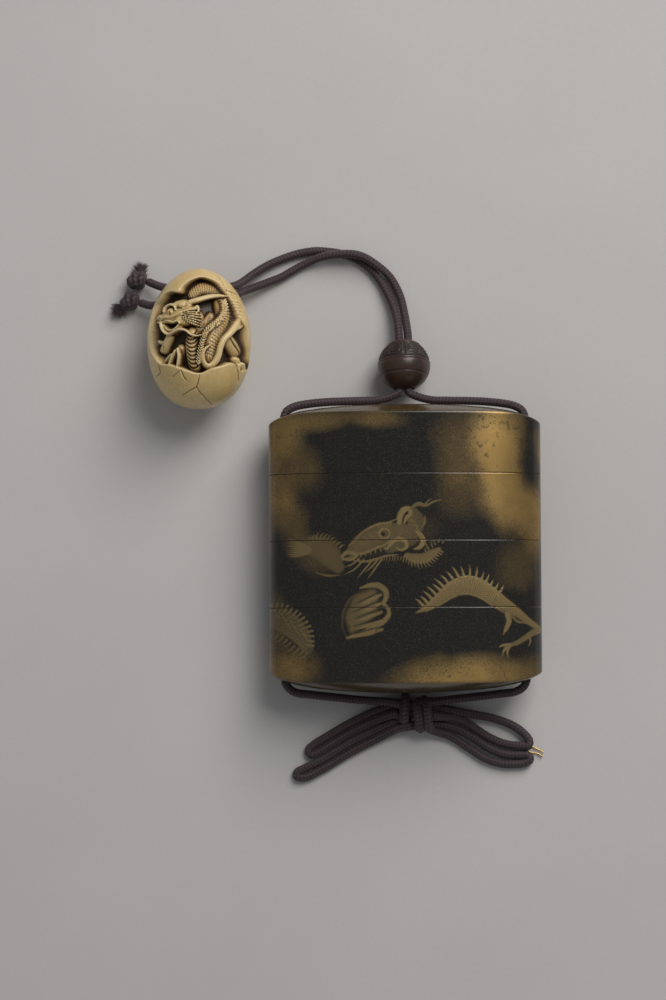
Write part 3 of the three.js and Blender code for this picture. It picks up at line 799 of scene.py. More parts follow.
# Each cell's distance from a stroke as a share of its width, how far along it lies and on which side.
def strokeOn(sheet, points, widths, spacing=0.25):
    line = smoothLine(points, spacing)
    where = np.linspace(0, 1, len(line))
    wide = np.interp(where, np.linspace(0, 1, len(widths)), widths)
    reach = wide.max() + 2 * sheet["step"]
    cell = lambda value, k: int((value - sheet["low"][k]) / sheet["step"])
    columns = [max(0, cell(line[:, 0].min() - reach, 0)), cell(line[:, 0].max() + reach, 0) + 2]
    rows = [max(0, cell(line[:, 1].min() - reach, 1)), cell(line[:, 1].max() + reach, 1) + 2]
    window = slice(rows[0], max(rows[1], rows[0] + 1)), slice(columns[0], max(columns[1], columns[0] + 1))
    x, y = np.meshgrid(sheet["across"][window[1]], sheet["up"][window[0]])
    share = np.full(x.shape, 9.0, np.float32)
    along = np.zeros_like(share)
    side = np.zeros_like(share)
    for i in range(len(line) - 1):
        a, step = line[i], line[i + 1] - line[i]
        near = [cell(min(a[k], line[i + 1][k]) - reach, k) - (columns, rows)[k][0] for k in (0, 1)]
        far = [cell(max(a[k], line[i + 1][k]) + reach, k) + 2 - (columns, rows)[k][0] for k in (0, 1)]
        part = slice(max(0, near[1]), max(0, far[1])), slice(max(0, near[0]), max(0, far[0]))
        dx, dy = x[part] - a[0], y[part] - a[1]
        size = float(step @ step)
        run = np.clip((dx * step[0] + dy * step[1]) / size, 0, 1)
        away = np.hypot(dx - run * step[0], dy - run * step[1])
        found = away / max(wide[i], 1e-6)
        closer = found < share[part]
        share[part][closer] = found[closer]
        along[part][closer] = ((i + run) / (len(line) - 1))[closer]
        side[part][closer] = (np.sign(step[0] * dy - step[1] * dx) * found)[closer]
    return {"window": window, "share": share, "along": along, "side": side, "length": lengthOf(line)}


def sampleSheet(sheet, layer, across, up):
    column = np.clip((across - sheet["low"][0]) / sheet["step"], 0, sheet["shape"][1] - 1.001)
    row = np.clip((up - sheet["low"][1]) / sheet["step"], 0, sheet["shape"][0] - 1.001)
    c, r = column.astype(int), row.astype(int)
    fc, fr = column - c, row - r
    low = layer[r, c] * (1 - fc) + layer[r, c + 1] * fc
    return low * (1 - fr) + (layer[r + 1, c] * (1 - fc) + layer[r + 1, c + 1] * fc) * fr


# Soft uneven cloud from 0 to 1, with features of about the given size.
def unevenLayer(sheet, size, octaves=4):
    total, weight = np.zeros(sheet["shape"]), 0.0
    for octave in range(octaves):
        scale = size / 2**octave
        counts = [int(np.ptp(sheet[axis]) / scale) + 3 for axis in ("up", "across")]
        lattice = chance.random(counts)
        spots = [np.linspace(0, counts[k] - 2.001, sheet["shape"][k]) for k in (0, 1)]
        (r, c), (fr, fc) = ([s.astype(int) for s in spots], [smoothStep(0, 1, s % 1) for s in spots])
        rows = lattice[r] * (1 - fr[:, None]) + lattice[r + 1] * fr[:, None]
        total += (rows[:, c] * (1 - fc) + rows[:, c + 1] * fc) * 0.6**octave
        weight += 0.6**octave
    return total / weight


def insideOutline(sheet, outline):
    x, y = np.meshgrid(sheet["across"], sheet["up"])
    inside = np.zeros(sheet["shape"], bool)
    for (ax, ay), (bx, by) in zip(outline, np.roll(outline, -1, axis=0)):
        if ay != by:
            inside ^= ((ay > y) != (by > y)) & (x < (bx - ax) * (y - ay) / (by - ay) + ax)
    return inside


print("the netsuke")

egg = {
    "radius": 14.3,
    "halfLength": 19.4,
    "place": np.array([-56.5, 58.0, 14.18]),
    "bluntness": (1.93, 2.3),  # above and below the middle
    "pocket": 4.2,
    "edgeRun": 1.1,
    "strandY": 71.5,
    "strandZ": 8.0,
    "strandClearance": 1.1,
    "holeHalfLength": 22,
    "poleShare": 0.985,  # how near its rings come to the poles
    "columns": (290, 64),  # across the front, and across the back
    "rings": 252,
}
openingEdge = [
    [-11, 10.4], [-9.3, 11.9], [-7.8, 12.4], [-6.4, 12.2], [-5.4, 12.1], [-4.6, 13.5], [-3.1, 14.8],
    [-1, 15.9],
    [1, 16.4], [4, 15.7], [6, 14.5], [7.5, 12.8], [9.2, 10.4], [11, 7.5], [11.9, 5], [13.6, 2],
    [14.2, -2.2],
    [14.2, -5.6], [13.6, -8.6], [11.9, -9.6], [9.8, -7.8], [7, -8.7], [3.7, -9.6], [1.6, -10.7],
    [-0.2, -10.8],
    [-3, -10], [-4.9, -9.3], [-7.6, -8.3], [-10.4, -7.8], [-12, -6], [-13.4, -3.1], [-13.8, 0.7],
    [-13.4, 5.1],
    [-12.2, 8.9],
]
# Broad masses: [across, up] path, half width, and how deep the crown lies under the shell.
dragonMasses = [
    {"name": "skull", "path": [[-9.6, 5.0], [-6.4, 5.8], [-3.2, 6.6]], "width": 3.1, "deep": 1.0},
    {"name": "brow", "path": [[-6.6, 8.4], [-4.6, 8.6], [-2.6, 8.2]], "width": 1.5, "deep": 0.8},
    {"name": "cheek", "path": [[-5.6, 4.2], [-3.4, 4.4]], "width": 2.3, "deep": 1.0},
    {"name": "mane", "path": [[-3.6, 5.0], [0.2, 4.6]], "width": 2.4, "deep": 1.7},
    {"name": "jaw", "path": [[-10.4, 3.2], [-8.6, 0.9], [-5.6, 1.8]], "width": 1.3, "deep": 1.6},
    {"name": "upper coil", "path": [[-1.6, 11.4], [1, 12.8], [4, 12.8], [7.6, 11.6]], "width": 2.3,
     "deep": 1.9},
    {"name": "neck", "path": [[8.4, 9.2], [8.6, 5.5], [6.9, 1.5], [4.9, -2], [3.9, -6.4]], "width": 3.0,
     "deep": 1.6},
    {"name": "neck front", "path": [[4.6, 4.6], [2.6, 2.8], [0.6, 1.6]], "width": 1.9, "deep": 2.0},
    {"name": "belly", "path": [[-1.6, 0], [-1.9, -4], [-0.8, -8.4]], "width": 2.5, "deep": 1.5},
    {"name": "forearm", "path": [[-8.9, -0.2], [-10, -2], [-11, -3.8]], "width": 1.4, "deep": 1.2},
    {"name": "hand", "path": [[-5.6, -4.0], [-6.2, -6.6]], "width": 1.8, "deep": 1.9},
    {"name": "paw", "path": [[12.2, -6.6], [12.8, -9.2]], "width": 1.4, "deep": 1.2},
    {"name": "flank", "path": [[9.4, -0.6], [11, -2.2], [12.4, -4]], "width": 2.3, "deep": 1.7},
    {"name": "side", "path": [[10.4, 8.4], [11.2, 4.4]], "width": 1.2, "deep": 2.4},
]
# Rounded strands that stand out over the masses: half widths along them, and depth of the crown.
dragonStrands = [
    {"name": "horn", "path": [[-2.2, 9.0], [0.6, 9.7], [3.6, 10.5], [6.4, 10.9], [8.8, 10.9]],
     "widths": [0.75, 0.8, 0.75, 0.62, 0.3], "deep": 0.5},
    {"name": "ear", "path": [[-2.4, 7.0], [-1.0, 7.1], [0.1, 7.7], [0.4, 6.6], [-0.3, 5.8]],
     "widths": [0.5, 0.5, 0.45, 0.4, 0.2], "deep": 0.8},
    {"name": "brow knob", "path": [[-4.9, 8.2], [-4.2, 8.3]], "widths": [0.85, 0.85], "deep": 0.35},
    {"name": "second knob", "path": [[-3.1, 8.6], [-2.7, 8.6]], "widths": [0.55, 0.55], "deep": 0.55},
    {"name": "eyelid", "path": [[-10.0, 6.6], [-9.5, 7.9], [-8.1, 8.5], [-6.8, 8.0], [-6.3, 6.9]],
     "widths": [0.25, 0.42, 0.45, 0.42, 0.25], "deep": 0.45},
    {"name": "nose", "path": [[-11.9, 4.9], [-11.4, 5.4], [-10.9, 5.2]], "widths": [0.5, 0.7, 0.5],
     "deep": 0.7},
    {"name": "nostril fold", "path": [[-12.0, 3.9], [-11.3, 3.9], [-10.9, 4.4]],
     "widths": [0.45, 0.5, 0.3], "deep": 0.9},
    {"name": "snout ridge", "path": [[-11.0, 4.4], [-9.8, 5.0], [-8.2, 4.9], [-6.4, 5.4], [-4.7, 6.2]],
     "widths": [0.4, 0.5, 0.45, 0.42, 0.3], "deep": 0.55},
    {"name": "upper lip", "path": [[-10.6, 3.7], [-9.0, 4.0], [-7.4, 3.5], [-6.0, 3.8], [-5.2, 3.1]],
     "widths": [0.3, 0.42, 0.36, 0.36, 0.2], "deep": 0.7},
    {"name": "lower lip", "path": [[-10.2, 2.9], [-9.4, 1.7], [-8.2, 1.3], [-6.6, 1.9], [-5.5, 3.0]],
     "widths": [0.25, 0.34, 0.36, 0.32, 0.2], "deep": 1.1},
    {"name": "whisker", "path": [[-10.8, 3.7], [-10.5, 2.2], [-9.6, 0.8], [-8.3, 0.2], [-6.6, 1.0],
                                 [-4.9, 1.4],
                                 [-3.3, 1.0], [-1.8, -0.1], [0, -0.5], [1.5, -0.1]],
     "widths": [0.34, 0.4, 0.42, 0.42, 0.42, 0.42, 0.4, 0.36, 0.3, 0.16], "deep": 0.35},
    {"name": "forehead lock", "path": [[-4.4, 7.2], [-3.2, 7.4], [-2.2, 7.9]], "widths": [0.35, 0.4, 0.2],
     "deep": 0.8},
    {"name": "tail band", "path": [[12.6, 6.4], [12.0, 4.0], [10.9, 2.0], [9.4, 0.2], [7.7, -1.6],
                                   [6.8, -3.6],
                                   [6.2, -5.8], [5.1, -7.7], [3.4, -8.7], [2.1, -7.9], [1.6, -6.0],
                                   [2.2, -4.2], [3.9, -2.9]],
     "widths": [0.3, 0.75, 0.85, 0.85, 0.85, 0.85, 0.9, 0.95, 0.85, 0.75, 0.65, 0.5, 0.2], "deep": 0.35},
    {"name": "tail fork", "path": [[11.0, 1.8], [12.4, 2.6], [13.2, 4.4], [13.4, 5.2]],
     "widths": [0.7, 0.6, 0.42, 0.2], "deep": 0.5},
    {"name": "first claw", "path": [[-6.3, -4.4], [-7.2, -5.8], [-7.9, -7.2], [-8.5, -8.6]],
     "widths": [0.42, 0.42, 0.34, 0.12], "deep": 0.2},
    {"name": "second claw", "path": [[-5.6, -4.0], [-5.3, -6.0], [-5.7, -8.2], [-6.3, -9.8]],
     "widths": [0.42, 0.46, 0.38, 0.12], "deep": 0.1},
    {"name": "third claw", "path": [[-7.6, -5.4], [-8.8, -6.4], [-9.9, -7.6]],
     "widths": [0.4, 0.36, 0.12], "deep": 0.4},
    {"name": "thumb", "path": [[-11.8, -1.4], [-11.2, -1.9], [-10.6, -1.8]], "widths": [0.42, 0.5, 0.3],
     "deep": 1.0},
    {"name": "paw claw", "path": [[12.8, -7.6], [12.7, -9.4], [12.0, -11.2]], "widths": [0.6, 0.55, 0.16],
     "deep": 0.15},
    {"name": "inner paw claw", "path": [[11.9, -7.9], [11.6, -9.4], [11.0, -10.8]],
     "widths": [0.4, 0.36, 0.14], "deep": 0.3},
]
shellCracks = [
    [[0.6, -10.8], [0.3, -12.4], [-0.4, -14.2], [-2.2, -15.1], [-4.4, -16.2]],
    [[-0.4, -14.2], [0.6, -15.6], [2.0, -16.9], [3.7, -18.4]],
    [[-4.6, -9.6], [-5.6, -10.4], [-6.9, -11.4]],
    [[-4.6, -9.6], [-3.9, -11.2], [-3.1, -12.5]],
    [[-10.9, -7.6], [-10.6, -9.0], [-10.4, -10.0], [-11.5, -10.8]],
    [[3.1, 18.3], [4.6, 17.6], [5.8, 16.6], [6.9, 14.8], [7.6, 12.7]],
    [[7.6, 12.7], [9.2, 12.2], [10.7, 11.9]],
    [[10.4, -8.4], [11.0, -9.8], [11.0, -12.2]],
]
carveSheet = newSheet((-16.0, -20.0), (16.0, 20.0), 0.06)


def raiseForm(deep, stroke, crown, power=0.5):
    part = deep[stroke["window"]]
    crowning = np.clip(1 - stroke["share"] ** 2, 0, 1) ** power
    floor = egg["pocket"]
    lifted = floor - (floor - crown) * crowning
    np.copyto(part, np.minimum(part, lifted), where=stroke["share"] < 1)


# A strand lies on what is under it: its sides drop only as far as the form below.
def layStrand(deep, path, widths, crown, thick=0.9):
    stroke = strokeOn(carveSheet, path, widths)
    part = deep[stroke["window"]]
    inside = stroke["share"] < 1
    lifted = crown + thick * (1 - np.sqrt(np.clip(1 - stroke["share"] ** 2, 0, 1)))
    np.copyto(part, np.minimum(part, lifted), where=inside)


def cutLine(deep, path, widths, cut):
    stroke = strokeOn(carveSheet, path, widths)
    deep[stroke["window"]] += cut * np.clip(1 - stroke["share"] ** 2, 0, 1)


# Scales: rows of overlapping rounded plates between two lines, deepest where one tucks under the next.
def carveScales(deep, path, width, size, cut):
    stroke = strokeOn(carveSheet, path, [width])
    down = stroke["along"] * stroke["length"] / size
    over = stroke["side"] * width / size
    row = np.floor(down)
    offset = (over + 0.5 * (row % 2)) % 1 - 0.5
    tip = (down - row) - 0.55 * np.sqrt(np.clip(1 - (2 * offset) ** 2, 0, 1))
    edge = np.exp(-((tip / 0.16) ** 2)) + 0.6 * np.exp(-(((0.5 - np.abs(offset)) / 0.09) ** 2))
    fade = smoothStep(1.0, 0.82, stroke["share"])
    deep[stroke["window"]] += cut * np.clip(edge, 0, 1) * fade


def carvePocket():
    inside = insideOutline(carveSheet, np.array(openingEdge))
    rim = strokeOn(carveSheet, openingEdge + openingEdge[:1], [egg["edgeRun"]], 0.4)
    slope = np.ones(carveSheet["shape"], np.float32)
    slope[rim["window"]] = np.clip(rim["share"], 0, 1)
    wall = np.where(inside, egg["pocket"] * smoothStep(0, 1, slope), 0.0)
    deep = wall.copy()
    for mass in dragonMasses:
        raiseForm(deep, strokeOn(carveSheet, mass["path"], [mass["width"]]), mass["deep"])
    return np.where(inside, deep, 0.0), inside, slope


def carveDragon(deep):
    carveScales(deep, [[-3.2, 11.0], [0.8, 12.8], [4, 12.9], [8.2, 11.6]], 2.3, 0.8, 0.34)
    carveScales(deep, [[9.6, 9.6], [9.8, 5.6], [8.0, 1.4], [6.0, -2.2], [4.6, -6.4]], 2.3, 0.85, 0.36)
    for k in range(9):
        share = k / 8
        y = 0.4 - 8.7 * share
        reach = 2.0 - 0.5 * abs(share - 0.4)
        middle = -1.9 + 0.9 * share
        plate = [[middle - reach, y + 0.1], [middle - 0.7, y - 0.75], [middle + 0.8, y - 0.55],
                 [middle + reach, y + 0.75]]
        cutLine(deep, plate, [0.2, 0.3, 0.3, 0.16], 0.85)
    for k in range(10):
        start = [0.9 + 0.42 * k, 1.9 + 0.42 * k]
        cutLine(deep, [start, [start[0] + 1.4, start[1] - 0.1], [start[0] + 2.6, start[1] + 0.35]],
                [0.1, 0.17, 0.1], 0.5)
    for k in range(7):
        lift = (k - 3) * 0.72
        tip = [1.1 + 0.25 * math.cos(k * 1.9), 4.5 + lift * 1.15]
        root = [-4.6, 5.3 + lift * 0.38]
        layStrand(deep, [root, [-2.2, 5.0 + lift * 0.8], tip], [0.28, 0.36, 0.1], 0.75, 0.7)
        cutLine(deep, [[root[0], root[1] - 0.2], [-2.2, 4.72 + lift * 0.8], [tip[0], tip[1] - 0.3]],
                [0.1, 0.16, 0.1], 0.7)
    for k in range(8):
        start = [8.9 + 0.36 * k, 0.5 - 0.5 * k]
        cutLine(deep, [start, [start[0] + 1.2, start[1] - 0.9], [start[0] + 1.7, start[1] - 2.2]],
                [0.1, 0.16, 0.1], 0.5)
    spine = smoothLine([[7.6, 9.7], [8.1, 7.6], [7.6, 5.4], [6.3, 3.6], [4.2, 2.1], [2.6, 0.6],
                        [1.7, -1.6], [0.9, -4.2],
                        [0.4, -7.6]], 0.72)
    heading = np.gradient(spine, axis=0)
    for (x, y), way in zip(spine, heading / np.linalg.norm(heading, axis=1)[:, None]):
        across = np.array([-way[1], way[0]])
        point = np.array([x, y]) + 0.5 * way
        for side in (-1, 1):
            flank = point - 0.75 * way + side * 0.78 * across
            layStrand(deep, [flank, point], [0.2, 0.26], 0.55, 0.75)
    return deep


def carveHead(deep):
    eye = strokeOn(carveSheet, [[-8.15, 6.55], [-8.05, 6.55]], [1.5])
    raiseForm(deep, eye, 0.35)
    cutLine(deep, [[-8.2, 5.9], [-8.1, 6.3]], [0.42, 0.42], 0.55)
    for k in range(5):
        lean = (k - 2) * 0.42
        cutLine(deep, [[-8.2 + lean * 0.7, 6.9], [-8.2 + lean * 1.3, 7.9]], [0.1, 0.08], 0.35)
    mouth = strokeOn(carveSheet, [[-9.9, 3.2], [-8.6, 2.5], [-7.2, 2.6], [-5.9, 3.3]],
                     [0.3, 0.8, 0.8, 0.25])
    deep[mouth["window"]] += 2.2 * np.clip(1 - mouth["share"] ** 2, 0, 1)
    for strand in dragonStrands:
        layStrand(deep, strand["path"], strand["widths"], strand["deep"], 1.1)
    for k in range(3):
        reach = 0.8 + 0.55 * k
        arc = [[-5.3 + 0.2 * k + reach * math.cos(a), 4.5 + reach * math.sin(a)] for a in (1.2, 0.5, -0.2,
                                                                                           -0.9)]
        cutLine(deep, arc, [0.08, 0.15, 0.15, 0.08], 0.45)
    for k in range(3):
        cutLine(deep, [[-11.3 + 0.5 * k, -2.6 - 0.1 * k], [-11.6 + 0.5 * k, -3.9]], [0.14, 0.14], 0.5)
    cutLine(deep, [[12.4, 5.4], [12.0, 3.6], [11.2, 2.2]], [0.08, 0.13, 0.08], 0.25)
    return deep


# How much cut-away lies round each cell, for the stain that settles in the hollows.
def hollowness(deep, reach):
    cells = max(1, int(reach / carveSheet["step"]))
    total = deep.copy()
    for axis in (0, 1):
        padded = np.concatenate([np.repeat(total.take([0], axis), cells, axis), total,
                                 np.repeat(total.take([-1], axis), cells + 1, axis)], axis)
        sums = np.cumsum(padded, axis)
        count = total.shape[axis]
        total = (sums.take(range(2 * cells, 2 * cells + count), axis)
                 - sums.take(range(count), axis)) / (2 * cells)
    return deep - total


def carveNetsuke():
    deep, inside, slope = carvePocket()
    deep = carveHead(carveDragon(deep))
    carved = np.where(inside, deep, np.minimum(deep, 1.0))
    for crack in shellCracks:
        cutLine(carved, crack, [0.12, 0.2, 0.2, 0.1], 0.5)
    fine = hollowness(carved, 0.45)
    broad = hollowness(carved, 1.6)
    stainAndShade = 0.95 * np.clip(fine, 0, None) + 0.26 * np.clip(broad, -0.2, None)
    # Painted shade: inside the pocket the stain grows with depth and on the opening's sloping wall,
    # darkest on the pocket floor; the crevice stain above is the ivory's own.
    stainAndShade += inside * (0.10 * carved + 0.75 * smoothStep(2.3, 3.9, carved))
    stainAndShade = np.clip(stainAndShade + 0.12 * inside * (slope < 1), 0, 1)
    polish = np.clip(-fine * 2.4 - 0.3 * np.clip(broad, None, 0), 0, 1)
    return carved, stainAndShade, polish


def eggShare(height):
    share = np.clip(np.abs(height) / egg["halfLength"], 0, 1)
    power = np.where(height > 0, *egg["bluntness"])
    return (1 - share**power) ** (1 / power)


def addNetsuke():
    deep, stainAndShade, polish = carveNetsuke()
    front, back = egg["columns"]
    turns = np.concatenate([np.linspace(-92, 92, front), np.linspace(92, 268, back)[1:]])
    rise = np.linspace(-1, 1, egg["rings"])
    up = egg["halfLength"] * np.sin(rise * math.pi / 2 * egg["poleShare"]) / math.sin(math.pi / 2
                                                                                      * egg["poleShare"])
    upGrid, turnGrid = np.meshgrid(up, np.radians(turns), indexing="ij")
    girthThere = egg["radius"] * eggShare(upGrid)
    across = girthThere * np.sin(turnGrid)
    facing = np.cos(turnGrid) > 0
    cut = np.where(facing, sampleSheet(carveSheet, deep, across, upGrid), 0)
    cut *= smoothStep(0.0, 0.18, np.cos(turnGrid))
    size = girthThere - np.minimum(cut, 0.8 * girthThere)
    high = np.maximum(size * np.cos(turnGrid), -egg["place"][2])
    place = np.stack([size * np.sin(turnGrid), upGrid, high], axis=-1) + egg["place"]
    marks = {
        "stainAndShade": np.where(facing, sampleSheet(carveSheet, stainAndShade, across, upGrid), 0),
        "polish": np.where(facing, sampleSheet(carveSheet, polish, across, upGrid), 0),
    }
    piece = wrapGrid("netsuke_dragon_in_egg", place, marks)
    hole = strandHole(egg["strandClearance"], egg["holeHalfLength"])
    middle = np.array([egg["place"][0], egg["strandY"], egg["strandZ"]])
    passage = placedHole(hole, middle, np.array([1.0, 0, 0]), np.array([0, 1.0, 0]))
    cutAway(piece, passage)
    bpy.data.objects.remove(passage)
    return dressPiece(piece, ivory, "ivory", "netsuke_egg")


netsuke = addNetsuke()


print("the case")

lowCase = boxOf("lower_case")
case = {
    "halfWidth": lowCase[1][0],
    "halfDepth": 12.0,
    "middle": caseMiddle,
    "power": 2.3,
    "cornerHeight": 34.3,
    "rimArch": 2.7,
    "archPower": 8,
    "endDome": 2.85,
    "seams": (20.2, 1.9, -16.4),
    "seamGap": 0.12,
    "hollow": (29.2, 9.2),
    "hollowPower": 3,
    "lipThickness": 1.1,
    "lipHeight": 3.2,
    "lipClearance": 0.3,
    "floor": 2.0,
    "channelRadius": 1.6,
    "mouthRadius": 2.8,
    "frontStep": 0.21,
    "backStep": 0.8,
}


def bend(value, power):
    return np.sign(value) * np.abs(value) ** (2 / power)


girthSteps = 7200


# Round the section: the angle and the width along its girth. Nought is the middle of the front.
def measureGirth():
    angle = np.radians(np.linspace(270, -90, girthSteps + 1))
    x = case["halfWidth"] * bend(np.cos(angle), case["power"])
    z = np.maximum(case["middle"] + case["halfDepth"] * bend(np.sin(angle), case["power"]), 0)
    reach = np.concatenate([[0], np.cumsum(np.hypot(np.diff(x), np.diff(z)))])
    front = slice(girthSteps // 4, 3 * girthSteps // 4 + 1)
    return {"angle": angle, "reach": reach - reach[-1] / 2, "frontX": x[front], "half": reach[-1] / 2,
            "frontReach": (reach - reach[-1] / 2)[front]}


girth = measureGirth()


# Points of the picture are [x, y] as seen from the front. On the case they wrap round with its girth.
def onCase(points):
    points = np.asarray(points, float)
    return np.stack([np.interp(points[:, 0], girth["frontX"], girth["frontReach"]), points[:, 1]], axis=1)


picture = newSheet((-girth["half"], -40.2), (girth["half"], 40.2), 0.1)
gilding = np.zeros(picture["shape"])
drawn = np.zeros(picture["shape"])

# Clouds of sprinkled gold on the front: place, half size, turn in degrees and strength.
clouds = [
    ((-35, 30.0), (9, 7), 35, 0.66), ((-24, 34.5), (12, 3.4), 4, 0.40), ((-8, 35.0), (9, 3.0), -4, 0.36),
    ((-35.5, 15.5), (7, 10), 8, 0.50), ((-31, 6), (6, 8), 0, 0.24), ((-28, 22), (6, 8), 20, 0.24),
    ((26, 28), (8.5, 14), 4, 1.0), ((16, 27), (10, 12), 20, 0.26), ((27, 14), (8, 11), 25, 0.85),
    ((36, 8), (6, 12), 0, 0.60), ((15, 15), (9, 9), 30, 0.20), ((31, -6), (9, 9), 0, 0.20),
    ((13, -37), (19, 8.0), 3, 0.80), ((22, -33), (9, 5), -18, 0.36), ((33, -36), (10, 6), 20, 0.36),
    ((-33, -34), (11, 7), 10, 0.52), ((-36, -22), (7, 10), 0, 0.24), ((-18, -39), (18, 2.4), 0, 0.25),
    ((-25, -2), (9, 6.5), -24, 0.18), ((3, 5), (9, 6), 0, 0.10),
]
sideClouds = [
    ((48, 24), (15, 10), 0, 0.8), ((66, 2), (16, 13), 20, 0.72), ((80, -27), (20, 9), 0, 0.78),
    ((-50, 4), (12, 12), 0, 0.6), ((-68, 27), (18, 8), -12, 0.8), ((-76, -12), (14, 11), 15, 0.66),
    ((-52, -31), (14, 8), 0, 0.7), ((54, -33), (12, 7), 0, 0.6), ((86, 20), (10, 9), 0, 0.5),
    ((-86, 20), (10, 9), 0, 0.5),
]
paintedShadePatch = ((35.0, 22.5), (5.0, 9.5), 12, 0.9)  # painted shade: the gold is thinned over a patch at the upper right


def cloudMask(place, size, turn, ragged):
    x, y = np.meshgrid(picture["across"], picture["up"])
    c, s = math.cos(math.radians(turn)), math.sin(math.radians(turn))
    dx, dy = x - place[0], y - place[1]
    away = np.hypot((dx * c + dy * s) / size[0], (dy * c - dx * s) / size[1])
    return smoothStep(1.25, 0.25, away + 0.55 * (ragged - 0.5))


def sprinkleClouds():
    ragged = unevenLayer(picture, 14)
    fine = unevenLayer(picture, 3.2, 3)
    bare = np.ones(picture["shape"])
    for row, (place, size, turn, strength) in enumerate(clouds + sideClouds):
        spot = onCase([place])[0] if row < len(clouds) else place
        bare *= 1 - strength * cloudMask(spot, size, turn, ragged)
    # Painted shade takes gold away over the patch at the upper right.
    place, size, turn, strength = paintedShadePatch
    dark = strength * cloudMask(onCase([place])[0], size, turn, fine)
    gold = (1 - bare) * (1 - dark)
    gilding[:] = np.clip(gold * (0.86 + 0.28 * fine) - 0.03, 0, 1)


# One brush stroke: its tone is how much gold shows, and its edge how softly it ends.
def brush(points, widths, tone, edge=0.16, press=1.0):
    stroke = strokeOn(picture, onCase(points), widths, 0.3)
    wide = np.interp(stroke["along"], np.linspace(0, 1, len(widths)), widths)
    cover = press * smoothStep(0, edge, (1 - stroke["share"]) * wide)
    shown = 0.72 * (tone(stroke, wide) if callable(tone) else tone)
    window = stroke["window"]
    gilding[window] += (shown - gilding[window]) * cover
    drawn[window] += (1 - drawn[window]) * cover * 0.9
    return stroke


def rounded(low, high):
    return lambda stroke, wide: low + (high - low) * np.sqrt(np.clip(1 - stroke["share"] ** 2, 0, 1))


# Scales as small dots of lighter gold in darker rows, brighter towards the upper side of the body.
def scaled(size, low, high, lit=1):
    def tone(stroke, wide):
        down = stroke["along"] * stroke["length"] / size
        over = stroke["side"] * wide / size
        offset = (over + 0.5 * (np.floor(down) % 2)) % 1 - 0.5
        dot = smoothStep(0.52, 0.2, np.hypot(offset, (down % 1) - 0.45))
        upper = 0.5 + 0.5 * np.clip(lit * stroke["side"], -1, 1)
        return low + (high - low) * (0.35 + 0.65 * dot) * (0.4 + 0.6 * upper)
    return tone


def spikes(base, count, length, lean, width, tone, side=1, first=0.0, last=1.0):
    line = smoothLine(base, 0.2)
    heading = np.gradient(line, axis=0)
    heading /= np.linalg.norm(heading, axis=1)[:, None]
    for k in range(count):
        share = k / max(1, count - 1)
        i = int((first + (last - first) * share) * (len(line) - 1))
        out = side * np.array([-heading[i][1], heading[i][0]])
        reach = length * (0.72 + 0.38 * math.sin(math.pi * min(1, share * 1.15)) + 0.12
                          * math.cos(k * 2.4))
        way = out + heading[i] * lean
        tip = line[i] + way * reach
        mid = line[i] + out * 0.55 * reach + heading[i] * lean * 0.3 * reach
        brush([line[i] - 0.3 * out, mid, tip], [width, width * 0.7, width * 0.12], tone, 0.1)


